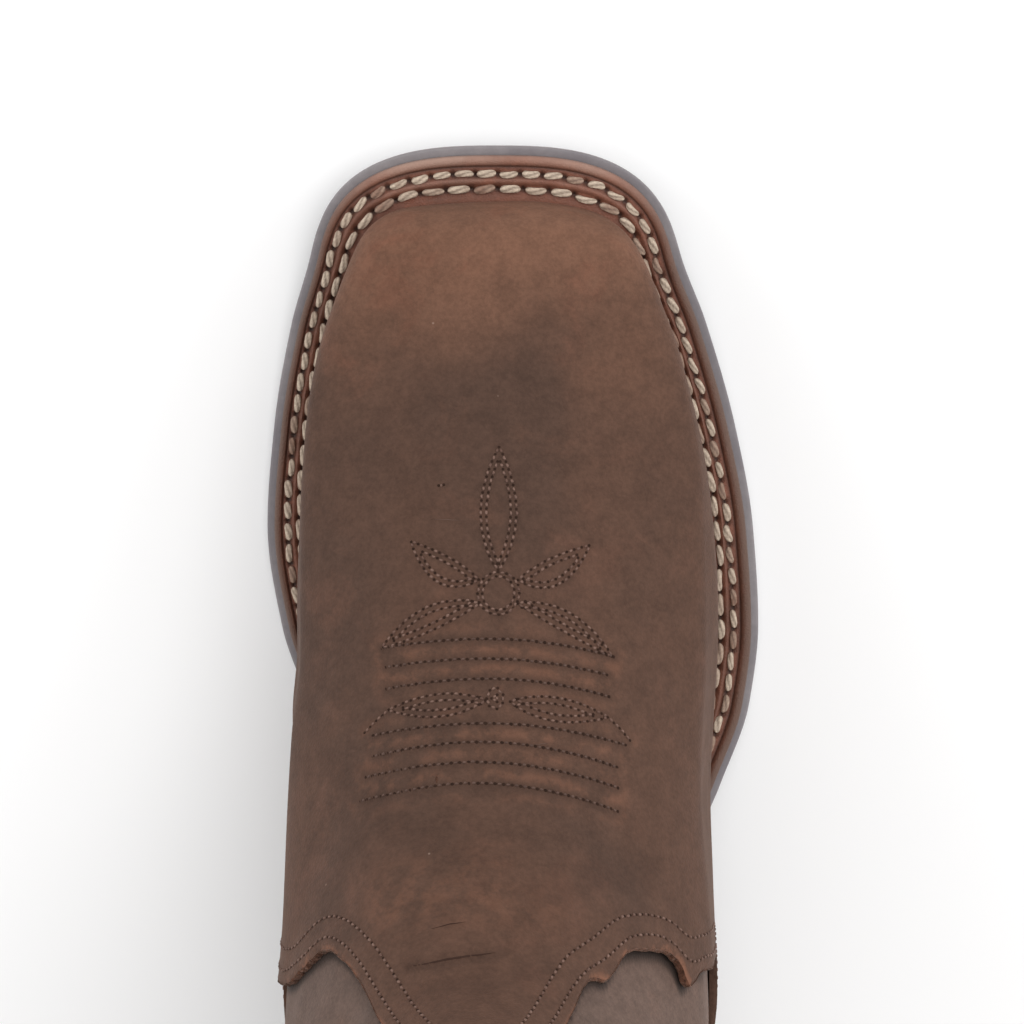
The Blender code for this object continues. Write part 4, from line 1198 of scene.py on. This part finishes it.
# Section of the welt from its edge inwards: place, measured between the landmarks edge 0, outer row 1,
# inner row 2 and upper 3, its height above the flat in mm, and its lip and shadow tones
WELT_SECTION = table(
    "place height lip shadow",
    (0.00, -1.10, 0.9, 0.15),
    (0.06, -0.45, 1.0, 0.0),
    (0.18, -0.05, 0.9, 0.0),
    (0.32, 0.05, 0.8, 0.0),
    (0.46, -0.10, 0.5, 0.05),
    (0.54, -0.55, 0.1, 0.5),
    (0.60, -0.80, 0.0, 0.75),
    (0.68, -0.62, 0.0, 0.35),
    (0.84, -0.50, 0.0, 0.1),
    (1.00, -0.50, 0.0, 0.1),
    (1.16, -0.50, 0.0, 0.15),
    (1.28, -0.32, 0.1, 0.3),
    (1.40, -0.02, 0.3, 0.0),
    (1.52, 0.05, 0.35, 0.0),
    (1.62, -0.10, 0.2, 0.0),
    (1.74, -0.42, 0.0, 0.35),
    (1.86, -0.52, 0.0, 0.1),
    (2.00, -0.52, 0.0, 0.1),
    (2.20, -0.48, 0.0, 0.15),
    (2.34, -0.20, 0.1, 0.2),
    (2.50, 0.02, 0.15, 0.1),
    (2.75, -0.05, 0.0, 0.45),
    (3.00, -0.10, 0.0, 0.6),
)
WELT_HALF = 560


def welt_round(place, height):
    """A closed round of the welt at that place of its section."""
    shares = np.linspace(0, 1, WELT_HALF + 1)
    halves = []
    for side in (1, -1):
        first, second = row_inset(side, False), row_inset(side, True)

        def inset(station):
            marks = np.stack([
                np.full_like(station, WELT_OUTER),
                first(station),
                np.minimum(second(station), feather_inset(station) - 0.6 * MM),
                feather_inset(station) - GAP,
            ])
            k = min(int(place), 2)
            return marks[k] + (place - k) * (marks[k + 1] - marks[k])

        halves.append(spread(inset_half(side, inset), shares))
    plan = round_of(*halves)
    return placed(np.column_stack([plan, feather_height(plan[:, 0]) + height]))


def welt_row(inner_row, pitch, start, lift):
    """A row of places for welt stitches, from one side's breast round the toe to the other's; and normals."""
    inner, outer = (inset_half(side, row_inset(side, inner_row)) for side in (1, -1))
    plan = np.vstack([inner[inner[:, 0] > start], outer[outer[:, 0] > start][::-1]])
    points = placed(np.column_stack([plan, feather_height(plan[:, 0]) + WELT + lift]))
    points = spaced(points, pitch)
    along = np.gradient(points, axis=0)
    outward = np.cross(along, (0, 0, 1.0))
    normals = unit(np.cross(outward, along))
    normals *= np.sign(normals[:, 2:])
    return points, normals


OUTER_PITCH, INNER_PITCH = 5.3 * MM, 6.1 * MM
STITCH_START = HEEL_LENGTH * 0.92

# The welt's pale lip: how far forward and how wide it is at the toe, and over how far it fades there
TOE_LIP_FROM = 232 * MM
TOE_LIP_FADE = 20 * MM
TOE_LIP_WIDTH = 45 * MM
TOE_LIP_SIDE_FADE = 18 * MM


def make_welt():
    """The welt: an edge of two rounds, its section's top, and a last round down at the upper."""
    rows = [(0.0, -SEAT_GAP + GAP, 0.6, 0.3), (0.0, WELT - 1.6 * MM, 0.8, 0.1)]
    rows += [(row.place, WELT + row.height * MM, row.lip, row.shadow) for row in WELT_SECTION]
    rows.append((3.0, 0.0, 0.0, 0.8))
    points = np.array([welt_round(place, height) for place, height, _, _ in rows])
    lips, shadows = [row[2] for row in rows], [row[3] for row in rows]
    flat = points.reshape(-1, 3)
    shadow = np.repeat(shadows, points.shape[1])
    for inner_row, pitch in ((False, OUTER_PITCH), (True, INNER_PITCH)):
        places, _ = welt_row(inner_row, pitch, STITCH_START, 0)
        for place in places:
            distance = np.linalg.norm(flat[:, :2] - place[:2], axis=1)
            pit = hollow(distance, 0.75 * MM)
            flat[:, 2] -= 0.9 * MM * pit * (np.arange(len(flat)) >= 2 * points.shape[1])
            shadow = np.maximum(shadow, 0.97 * np.clip(1.5 * pit, 0, 1))
    faces = grid_faces(len(points), points.shape[1], closed_rows=True, closed_columns=True)
    front = np.clip((-flat[:, 1] - TOE_LIP_FROM) / TOE_LIP_FADE, 0, 1)
    front *= np.clip((TOE_LIP_WIDTH - np.abs(flat[:, 0])) / TOE_LIP_SIDE_FADE, 0, 1)
    lip = np.repeat(lips, points.shape[1])
    masks = {"lip": lip * front, "shadow": shadow, "side": lip * (1 - front)}
    return piece("welt_strip", flat, faces, [WELT_FINISH], "welt", masks)


def make_welt_stitches():
    rings, sides = 13, 12
    form = stitch_form(rings, sides, 0.08)
    for name, inner_row, pitch, share, wide, high, seed in (
        ("welt_stitches_outer_row", False, OUTER_PITCH, 0.84, 1.75 * MM, 1.0 * MM, 5),
        ("welt_stitches_inner_row", True, INNER_PITCH, 0.87, 1.85 * MM, 1.1 * MM, 6),
    ):
        line, normals = welt_row(inner_row, pitch, STITCH_START, -0.55 * MM)
        points, faces, tones = stitch_row([(line, normals)], share, wide, high, 0.08, form, seed)
        grooves = np.tile(ply_grooves(rings, sides), len(points) // len(form[0]))
        masks = {"tone": tones, "groove": grooves}
        piece(name, points, faces, [WELT_THREAD], masks=masks)


# Edge of the sole: how far each round is set in, and its height over the underside or over the top
SOLE_LOWER = (
    (3.2 * MM, 0), (OUTSOLE_BEVEL, 0), (0.45 * MM, 0.3 * MM), (0.1 * MM, 0.8 * MM), (0.0, OUTSOLE_BEVEL),
    (0.0, 3.6 * MM), (0.25 * MM, 3.8 * MM), (0.25 * MM, 4.1 * MM), (0.0, 4.3 * MM),
)
SOLE_UPPER = (
    (0.0, -OUTSOLE_BEVEL / 2), (0.2 * MM, -0.2 * MM), (OUTSOLE_BEVEL / 2, 0), (3.0 * MM, 0), (6.0 * MM, 0),
)

# Tread, in mm: how far apart its bars are, how much they sweep back, their grooves' half width and edge,
# where along the boot it begins and ends, and its depth
BAR_PITCH = 9.0
BAR_SWEEP = 0.35
GROOVE_HALF = 1.5
GROOVE_EDGE = 0.5
TREAD_BACK = -118
TREAD_FRONT = 262
TREAD_FADE = 4
TREAD_DEPTH = 0.9 * MM


def make_outsole():
    """Rubber sole: rounded edge, a fine parting line, and a moulded tread across the forefoot."""
    half = 420
    shares = np.linspace(0, 1, half + 1)

    def ring(inset, level, height):
        plan = round_of(*[spread(inset_half(side, even(inset)), shares) for side in (1, -1)])
        return placed(np.column_stack([plan, level(plan[:, 0]) + height]))

    rounds = [ring(inset, sole_underside, height) for inset, height in SOLE_LOWER]
    rounds += [ring(inset, sole_top, height) for inset, height in SOLE_UPPER]
    points = np.concatenate(rounds)
    count = 2 * half
    faces = grid_faces(len(rounds), count, closed_columns=True)
    faces += across_faces((len(rounds) - 1) * count, half)
    inner, outer = rounds[0][: half + 1], np.vstack([rounds[0][:1], rounds[0][: half - 1 : -1]])
    lanes = 64
    under = np.array([(inner * (1 - k / lanes) + outer * (k / lanes))[1:-1] for k in range(1, lanes)])
    x, y = under[..., 0] / MM, under[..., 1] / MM
    bar = np.abs(((y + BAR_SWEEP * np.abs(x)) % BAR_PITCH) - BAR_PITCH / 2)
    groove = np.clip((GROOVE_HALF - bar) / GROOVE_EDGE, 0, 1)
    fore = np.clip((TREAD_BACK - y) / TREAD_FADE, 0, 1) * np.clip((y + TREAD_FRONT) / TREAD_FADE, 0, 1)
    side_margin = np.minimum(np.arange(1, lanes), np.arange(lanes - 1, 0, -1))[:, None]
    groove = groove * fore * np.clip((side_margin - 3) / 2, 0, 1)
    under[..., 2] += TREAD_DEPTH * groove
    first = len(points)
    points = np.concatenate([points, under.reshape(-1, 3)])
    width = half - 1
    faces += grid_faces(lanes - 1, width, first=first)
    for c in range(width - 1):
        faces.append((1 + c, 2 + c, first + c + 1, first + c))
        a, b = count - 1 - c, count - 2 - c
        last = first + (lanes - 2) * width
        faces.append((a, b, last + c + 1, last + c))
    for end, column_at in ((0, 0), (half, width - 1)):
        for k in range(lanes - 2):
            faces.append((end, first + k * width + column_at, first + (k + 1) * width + column_at))
        near, far = (1, count - 1) if end == 0 else (half - 1, half + 1)
        faces.append((end, near, first + column_at))
        faces.append((end, far, first + (lanes - 2) * width + column_at))
    return piece("sole_unit", points, faces, [SOLE_FINISH], "outsole")


HEEL_COLUMNS = 110


def heel_round(inset, back_rake, breast_rake, height):
    """A closed round of the heel: the sole's outline behind the breast, moved in, with a straight breast."""
    front = HEEL_LENGTH - breast_rake
    halves = []
    for side in (1, -1):
        line = inset_half(side, even(inset))
        line[:, 0] += back_rake * (1 - line[:, 0] / HEEL_LENGTH)
        line = line[line[:, 0] < front]
        line = np.vstack([line, [front, line[-1, 1]]])
        halves.append(spread(line, np.linspace(0, 1, HEEL_COLUMNS + 1)))
    plan = np.vstack([halves[0], halves[1][:0:-1]])
    return placed(np.column_stack([plan, height(plan[:, 0])]))


def heel_piece(name, node_name, rounds, finish, shadows):
    rounds = np.asarray(rounds)
    count = rounds.shape[1]
    faces = grid_faces(len(rounds), count, closed_columns=True)
    for first in (0, (len(rounds) - 1) * count):
        faces.append((first, first + 1, first + count - 1))
        for c in range(1, count // 2):
            faces.append((first + c, first + c + 1, first + count - c - 1, first + count - c))
    masks = {"shadow": np.repeat(shadows, count)}
    return piece(name, rounds.reshape(-1, 3), faces, [finish], node_name, masks, sharp=1.0)


# The heel's lifts, and each one's rounds: how far up it, how far set in in mm, and how dark
HEEL_LIFTS = 5
LIFT_ROUNDS = (
    (0.0, 0.35, 0.9), (0.06, 0.08, 0.25), (0.2, 0.0, 0.0), (0.5, 0.0, 0.0), (0.8, 0.0, 0.0),
    (0.94, 0.08, 0.25),
)


def make_heel():
    """The stacked heel with a groove between its lifts, and its rubber cap."""

    def section(down, height, extra=0.0):
        inset = HEEL_SET_IN + HEEL_TAPER * down + extra
        return heel_round(inset, HEEL_RAKE * down, BREAST_RAKE * down, height)

    cap_share = 1 - HEEL_CAP / HEEL_HEIGHT
    rounds, shadows = [], []
    for lift in range(HEEL_LIFTS):
        for t, inward, dark in LIFT_ROUNDS:
            up = (lift + t) / HEEL_LIFTS
            down = cap_share * (1 - up)
            rounds.append(section(down, lift_height(up), inward * MM))
            shadows.append(dark)
    rounds.append(section(0, lift_height(1.0), 0.35 * MM))
    shadows.append(0.8)
    heel_piece("heel_lifts", "heel_stack", rounds, STACK_FINISH, shadows)
    cap = [
        section(1, even(0.0), 0.7 * MM),
        section(1, even(0.25 * MM), 0.2 * MM),
        section(1, even(0.8 * MM)),
        section(cap_share + 0.04, even(HEEL_CAP - 0.7 * MM)),
        section(cap_share, even(HEEL_CAP - 0.2 * MM), 0.15 * MM),
        section(cap_share, even(HEEL_CAP), 0.4 * MM),
    ]
    heel_piece("heel_top_piece", "heel_cap", cap, CAP_FINISH, [0] * len(cap))


def lift_height(up):
    """Height of the heel stack at a share of the way up, from the cap to the outsole's underside."""
    low = HEEL_CAP + GAP
    return lambda station: low + (sole_underside(station) - GAP - low) * up


def make_binding():
    """The strip folded over the collar's edge, rounded at the fold."""
    turns = np.arange(480) / 240
    top = SKIN.at(TOP_LEVEL, turns)
    normal = unit(SKIN.at(TOP_LEVEL, turns, 1.0) - top)
    down = unit(SKIN.at(TOP_LEVEL - 0.6, turns) - top)
    outside, inside = GAP, -SHELL - GAP
    leg = np.linspace(BINDING_DEPTH - 1.2 * MM, 0.6 * MM, 6)
    section = [(outside, BINDING_DEPTH), (outside + 0.6 * BINDING, BINDING_DEPTH)]
    section += [(outside + BINDING, depth) for depth in (BINDING_DEPTH - 0.5 * MM, *leg)]
    middle, reach = (outside + inside) / 2, (outside - inside) / 2 + BINDING
    for a in np.linspace(0, math.pi, 9):
        section.append((middle + reach * math.cos(a), -(GAP + BINDING) * math.sin(a)))
    leg = np.linspace(0.6 * MM, BINDING_DEPTH - 1.2 * MM, 6)
    section += [(inside - BINDING, depth) for depth in (*leg, BINDING_DEPTH - 0.5 * MM)]
    section += [(inside - 0.6 * BINDING, BINDING_DEPTH), (inside, BINDING_DEPTH)]
    section += [(inside, -0.2 * GAP), (outside, -0.2 * GAP)]
    rounds = [top + out * normal + depth * down for out, depth in section]
    points = np.array(rounds)
    faces = grid_faces(len(points), points.shape[1], closed_rows=True, closed_columns=True)
    wear_and_sheen = np.repeat([0.7 * hollow(depth + 1.5 * MM, 2 * MM) for _, depth in section], points.shape[1])
    masks = {"wear_and_sheen": wear_and_sheen, "shadow": np.zeros_like(wear_and_sheen)}
    piece("collar_strip", points, faces, [TRIM_FINISH], "collar_binding", masks)
    line = top + (outside + BINDING) * normal + (BINDING_DEPTH - 2.2 * MM) * down
    return np.vstack([line, line[:1]]), np.vstack([normal, normal[:1]])


def rounded_sheet(name, far, near, node):
    """A strap or seam between two grids of points, rounded off at its edges."""
    rows, columns = far.shape[:2]
    middle = (far + near) / 2
    half = (far - near) / 2
    across = np.linspace(-1, 1, columns)
    thick = np.clip((1 - np.abs(across) ** 8), 0, 1) ** 0.5 * 0.85 + 0.15
    far = middle + half * thick[None, :, None]
    near = middle - half * thick[None, :, None]
    loop = np.concatenate([far, near[:, ::-1]], axis=1)
    count = loop.shape[1]
    faces = grid_faces(rows, count, closed_columns=True)
    faces += [list(range(count)), [(rows - 1) * count + c for c in range(count)]]
    wear_and_sheen = np.zeros(loop.shape[:2])
    wear_and_sheen[:, [0, 1, columns - 2, columns - 1]] = 0.8
    masks = {"wear_and_sheen": wear_and_sheen, "shadow": np.zeros_like(wear_and_sheen)}
    return piece(name, loop, faces, [TRIM_FINISH], node, masks)


def make_side_seam(name, side):
    """The raised seam that joins the front and back panels of the shaft."""
    levels = np.linspace(SEAM_START, TOP_LEVEL, 150)
    t = np.clip((levels - WALL_LEVEL) / (TOP_LEVEL - 1 - WALL_LEVEL), 0, 1)
    share = SIDE_SHARE + (COLLAR_SHARE - SIDE_SHARE) * t * t * (3 - 2 * t)
    turn = share * side
    centre = SKIN.at(levels, turn)
    top = SKIN.at(TOP_LEVEL, COLLAR_SHARE * side)
    keep = np.linalg.norm(centre - top, axis=1) > BINDING_DEPTH + GAP
    levels, turn = levels[keep], turn[keep]
    spacing = np.linalg.norm(SKIN.at(levels, turn + 0.01) - SKIN.at(levels, turn), axis=1) / 0.01
    across = np.linspace(-1, 1, 11)
    turns = turn[:, None] + side * across * SEAM_WIDTH / 2 / spacing[:, None]
    crown = 0.35 + 0.65 * np.clip(1 - np.abs(across) ** 3, 0, 1)
    rise = shaft_relief(SKIN.at(levels[:, None], turns).reshape(-1, 3)).reshape(turns.shape)
    far = SKIN.at(levels[:, None], turns, rise + GAP + SEAM_HEIGHT * crown)
    near = SKIN.at(levels[:, None], turns, rise + GAP * 0.2)
    rounded_sheet(name.replace("side_seam", "side_piping"), far, near, name)
    rows = []
    for offset in (-1, 1):
        row_turn = turn + side * offset * (SEAM_WIDTH / 2 + 1.8 * MM) / spacing
        rise = shaft_relief(SKIN.at(levels, row_turn))
        line = SKIN.at(levels, row_turn, rise)
        rows.append((line, unit(SKIN.at(levels, row_turn, 1.0) - SKIN.at(levels, row_turn))))
    return rows


def make_pull_strap(name, side):
    """A strap up the outside of the collar, over it as a finger loop, and down the inside."""
    place = SKIN.at(TOP_LEVEL, COLLAR_SHARE * side)
    spacing = np.linalg.norm(SKIN.at(TOP_LEVEL, (COLLAR_SHARE + 0.01) * side) - place) / 0.01
    outside = GAP + max(SEAM_HEIGHT, BINDING) + 2 * GAP
    inside = -SHELL - GAP - BINDING - GAP
    middle, reach = (outside + inside) / 2, (outside - inside) / 2
    bends = np.linspace(-math.pi / 2, math.pi / 2, 41)
    loop = []
    for a in bends:
        loop.append((middle + reach * math.sin(a) + STRAP_BULGE * math.sin(2 * a), STRAP_LOOP * math.cos(a)))
    legs = np.linspace(-STRAP_DROP, 0, 24)[:-1]
    path = np.array([(inside, v) for v in legs] + loop + [(outside, v) for v in legs[::-1]])
    along = unit(np.gradient(path, axis=0))
    far_path = path + STRAP * np.column_stack([-along[:, 1], along[:, 0]])
    across = np.linspace(-1, 1, 21)
    turns = side * (COLLAR_SHARE + across * STRAP_WIDTH / 2 / spacing)
    start = SKIN.at(TOP_LEVEL, turns)
    rise = unit(start - SKIN.at(TOP_LEVEL - 1, turns))
    out = unit(SKIN.at(TOP_LEVEL, turns, 1.0) - start)
    grids = []
    for line in (far_path, path):
        grids.append(start[None] + line[:, :1, None] * out[None] + line[:, 1:, None] * rise[None])
    far, near = grids
    rounded_sheet(name.replace("pull_strap", "pull_tab"), far, near, name)
    rows = []
    outer_leg = slice(len(path) - len(legs) + 1, len(path) - 1)
    for k in (2, 18):
        rows.append((far[outer_leg, k], np.repeat(out[k][None], len(far[outer_leg, k]), axis=0)))
    for k in (-2, -len(legs) // 2):
        rows.append((far[k, 2:19], out[2:19]))
    return rows


# How many places along a row its normals are eased over, and how far a hole's disc of painted shade stands
# proud
NORMAL_EASE = 9
HOLE_LIFT = 0.07 * MM


def stepped_row(line, normals, pitch):
    """The places a pitch apart along a row, with its normals smoothed."""
    run = run_along(line)
    wanted = np.linspace(0, run[-1], max(2, int(round(run[-1] / pitch)) + 1))
    kernel = np.ones(min(NORMAL_EASE, len(line) // 2 * 2 + 1))
    eased = [np.convolve(np.pad(part, len(kernel) // 2, mode="edge"), kernel, "valid") for part in normals.T]
    return at_runs(line, run, wanted), unit(at_runs(np.column_stack(eased)[: len(line)], run, wanted))


def tone_stitches(
    name, rows, pitch, seed, wide=0.6 * MM, share=0.5, hole=0.36 * MM, finish=None
):
    """Fine stitching, tone on tone: a thread at each step of a row, and a dark disc of painted shade at its
    needle hole.
    """
    stepped = [stepped_row(line, normals, pitch) for line, normals in rows if len(line) > 3]
    form = stitch_form(5, 6, 0.0)
    points, faces, tones = stitch_row(stepped, share, wide, 0.42 * MM, 0.25, form, seed)
    piece(name, points, faces, [finish or TONE_THREAD], masks={"tone": tones})
    # Each needle hole is a small dark disc of painted shade lying just over the leather.
    corners = 8
    ring = [(math.cos(a), math.sin(a)) for a in np.linspace(0, 2 * math.pi, corners, endpoint=False)]
    points, faces = [], []
    for line, normals in stepped:
        along, across, up = (np.vstack([way, way[-1:]]) for way in row_frames(line, normals)[1:])
        for k in range(len(line)):
            first = len(points)
            points.append(line[k] + up[k] * HOLE_LIFT)
            for x, y in ring:
                points.append(line[k] + up[k] * HOLE_LIFT * 0.4 + along[k] * x * hole + across[k] * y * hole)
            for s in range(corners):
                faces.append((first, first + 1 + s, first + 1 + (s + 1) % corners))
    piece(name + "_hole_shades", points, faces, [HOLE_SHADE_FINISH])


def tree_of(made):
    mesh = made.data
    return BVHTree.FromPolygons([v.co[:] for v in mesh.vertices], [p.vertices[:] for p in mesh.polygons])


def dropped(tree, plan):
    """Rows as seen from above, laid on a piece of the boot."""
    places, normals = [], []
    for x, y in plan:
        place, normal, _, _ = tree.ray_cast(Vector((x, y, 0.4)), Vector((0, 0, -1)))
        if place is not None:
            places.append(place[:])
            normals.append(normal[:])
    return np.array(places), np.array(normals)


# Marks on the vamp, seen from above in mm: painted shade of a fold line and its echo, a raw nick, two fine
# scratches
MARKS = table(
    "line width finish",
    (((18.6, -109.0), (14.5, -110.0), (10.5, -110.9), (6.0, -111.5), (0.0, -111.9)), 0.6, "fold"),
    (((14.0, -115.6), (10.0, -116.6), (6.5, -117.0)), 0.3, "fold"),
    (((13.4, -142.5), (13.35, -141.7), (13.3, -140.8)), 0.5, "nick"),
    (((15.0, -194.9), (11.5, -195.0), (7.2, -194.8)), 0.22, "scratch"),
    (((-8.6, -147.9), (-10.4, -148.0), (-12.0, -148.1)), 0.2, "scratch"),
)
PIN_MARK = ((13.3, -202.3), (12.9, -202.4), (12.5, -202.4), (12.1, -202.5))


def make_marks(tree):
    """Each mark as a thin tapered strip lying on the leather."""
    # The folds' strips are painted shade; the nick and the scratches are the leather's own marks.
    finishes = {"fold": FOLD_SHADE_FINISH, "nick": RAW_FINISH, "scratch": SCRATCH_FINISH}
    for number, mark in enumerate(MARKS):
        places, normals = dropped(tree, spaced(np.array(mark.line) * MM, 0.3 * MM))
        along = unit(np.gradient(places, axis=0))
        across = unit(np.cross(along, normals))
        taper = np.sin(np.linspace(0.05, math.pi - 0.05, len(places)))[:, None] * mark.width / 2 * MM
        lifted = places + normals * 0.04 * MM
        points = np.stack([lifted - across * taper, lifted + normals * 0.06 * MM, lifted + across * taper])
        faces = grid_faces(3, len(places))
        piece(f"{mark.finish}_mark_{number + 1}", points, faces, [finishes[mark.finish]])


def make_toe_stitching(vamp):
    """The petals' doubled rows show their thread; the arcs' rows are drawn in and show mostly their holes."""
    tree = tree_of(vamp)
    petals, arcs = [], []
    for line, depth in toe_rows():
        (arcs if depth > 0.2 * MM else petals).append(dropped(tree, spaced(line, 0.5 * MM)))
    petals.append(dropped(tree, np.array(PIN_MARK) * MM))
    tone_stitches("petal_stitching", petals, TOE_PITCH * MM, 8, share=0.44, hole=0.36 * MM)
    tone_stitches("arc_stitching", arcs, TOE_PITCH * MM, 9, share=0.4, hole=0.42 * MM, finish=DIM_THREAD)
    make_marks(tree)


ROW_EASE = 17


def edge_rows_of(edge_rows, turns, insets, lift):
    """Rows along a laid leather's cut edge, each at its own distance from it."""
    tops = edge_tops(edge_rows, turns)
    back = np.linspace(0, 3.0, 61)
    grid = SKIN.at(np.maximum(tops[None] - back[:, None], WALL_LEVEL + 0.1), turns, lift)
    rows = []
    top_line = grid[0]
    for inset in insets:
        line, normals = [], []
        for c in range(len(turns)):
            distance = distance_3d(grid[:, c], top_line[max(0, c - 40) : c + 41])
            k = int(np.argmax(distance > inset))
            if k:
                level = max(tops[c] - back[k], WALL_LEVEL + 0.1)
                line.append(grid[k, c])
                normals.append(SKIN.at(level, turns[c], 1.0) - SKIN.at(level, turns[c]))
        kernel = np.ones(ROW_EASE) / ROW_EASE
        eased = np.pad(np.array(line), ((ROW_EASE // 2, ROW_EASE // 2), (0, 0)), mode="edge")
        line = np.column_stack([np.convolve(eased[:, k], kernel, "valid") for k in range(3)])
        rows.append((line, unit(np.array(normals))))
    return rows


def settled(tree, rows):
    """Rows moved onto the nearest face of a piece."""
    moved = []
    for line, _ in rows:
        found = [tree.find_nearest(Vector(place)) for place in line]
        moved.append((np.array([f[0][:] for f in found]), np.array([f[1][:] for f in found])))
    return moved


def distance_3d(points, line):
    return np.min(np.linalg.norm(points[:, None] - line[None], axis=2), axis=1)


vamp = make_vamp()
counter = make_counter()
make_shaft()
make_welt()
make_welt_stitches()
make_outsole()
make_heel()
binding_row = make_binding()
trim_rows = [binding_row]
for side, word in ((1, "inner"), (-1, "outer")):
    trim_rows += make_side_seam("side_seam_" + word, side)
    trim_rows += make_pull_strap("pull_strap_" + word, side)
tone_stitches("trim_stitching", trim_rows, 2.6 * MM, 12, wide=0.7 * MM)
make_toe_stitching(vamp)
stop = SIDE_SHARE - 0.02
start = SIDE_SHARE + 0.02
for name, laid, edge_rows, turns, second_inset, pitch, seed in (
    ("vamp", vamp, VAMP_EDGE, np.linspace(start, 2 - SIDE_SHARE - 0.02, 420), 7.4, 2.2, 14),
    ("counter", counter, COUNTER_EDGE, np.linspace(-SIDE_SHARE + 0.02, stop, 240), 5.0, 2.4, 15),
):
    rows = edge_rows_of(edge_rows, turns, (2.6 * MM, second_inset * MM), UNDER_GAP + OVERLAY)
    tone_stitches(name + "_edge_stitching", settled(tree_of(laid), rows), pitch * MM, seed)

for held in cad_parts["insole"].material_slots:
    held.material = SOCK_FINISH


# Camera: high over the toe, looking down the instep; the picture's top is the way the toe points
CAMERA_TILT = math.radians(80)
CAMERA_DISTANCE = 1.0
CAMERA_TARGET = Vector((-3.6, -196.2, 60.0)) * MM
SENSOR = 36
PICTURE_PIXELS = 1024
FOCUS_PIXELS = 4337


def make_camera():
    look = Vector((0, math.cos(CAMERA_TILT), -math.sin(CAMERA_TILT)))
    up = Vector((0, -1, 0))
    up = (up - look * up.dot(look)).normalized()
    right = look.cross(up)
    data = bpy.data.cameras.new("camera")
    data.sensor_width = SENSOR
    data.lens = FOCUS_PIXELS / PICTURE_PIXELS * SENSOR
    data.clip_start = 0.05
    data.clip_end = 20
    made = bpy.data.objects.new("camera", data)
    turn = Matrix((right, up, -look)).transposed().to_4x4()
    made.matrix_world = Matrix.Translation(CAMERA_TARGET - look * CAMERA_DISTANCE) @ turn
    bpy.context.scene.collection.objects.link(made)
    bpy.context.scene.camera = made


def make_area_light(name, place, target, size, power):
    data = bpy.data.lights.new(name, "AREA")
    data.shape = "RECTANGLE"
    data.size, data.size_y = size
    data.energy = power
    made = bpy.data.objects.new(name, data)
    way = Vector(target) - Vector(place)
    made.matrix_world = Matrix.Translation(place) @ way.to_track_quat("-Z", "Y").to_matrix().to_4x4()
    bpy.context.scene.collection.objects.link(made)


def make_studio():
    """A pale floor, an even pale surround, and soft light from above and both sides."""
    floor = bpy.data.meshes.new("floor")
    reach = 24.0
    corners = [(-reach, -reach, 0), (reach, -reach, 0), (reach, reach, 0), (-reach, reach, 0)]
    floor.from_pydata(corners, [], [(0, 1, 2, 3)])
    made, _, shader, _ = finish_of("floor", 0.9, 0.1, diffuse=(0.9, 0.9, 0.9))
    shader.inputs["Base Color"].default_value = colour((0.93, 0.93, 0.93))
    floor.materials.append(made)
    plane = bpy.data.objects.new("floor", floor)
    bpy.context.scene.collection.objects.link(plane)
    world = bpy.data.worlds.new("studio")
    world.use_nodes = True
    surround = world.node_tree.nodes["Background"]
    surround.inputs[0].default_value = (1.0, 1.0, 1.0, 1)
    surround.inputs[1].default_value = 0.72
    bpy.context.scene.world = world
    sun = bpy.data.lights.new("overhead", "SUN")
    sun.energy = 1.1
    sun.angle = math.radians(50)
    lamp = bpy.data.objects.new("overhead", sun)
    lamp.matrix_world = Vector((0.25, 0.35, -1.0)).to_track_quat("-Z", "Y").to_matrix().to_4x4()
    bpy.context.scene.collection.objects.link(lamp)
    for name, x in (("side_inner", 1.3), ("side_outer", -1.3)):
        make_area_light(name, (x, -0.5, 0.7), (0, -0.12, 0.1), (1.0, 1.0), 7.0)
    bpy.context.scene.view_settings.view_transform = "Standard"


make_camera()
make_studio()
bpy.context.view_layer.update()
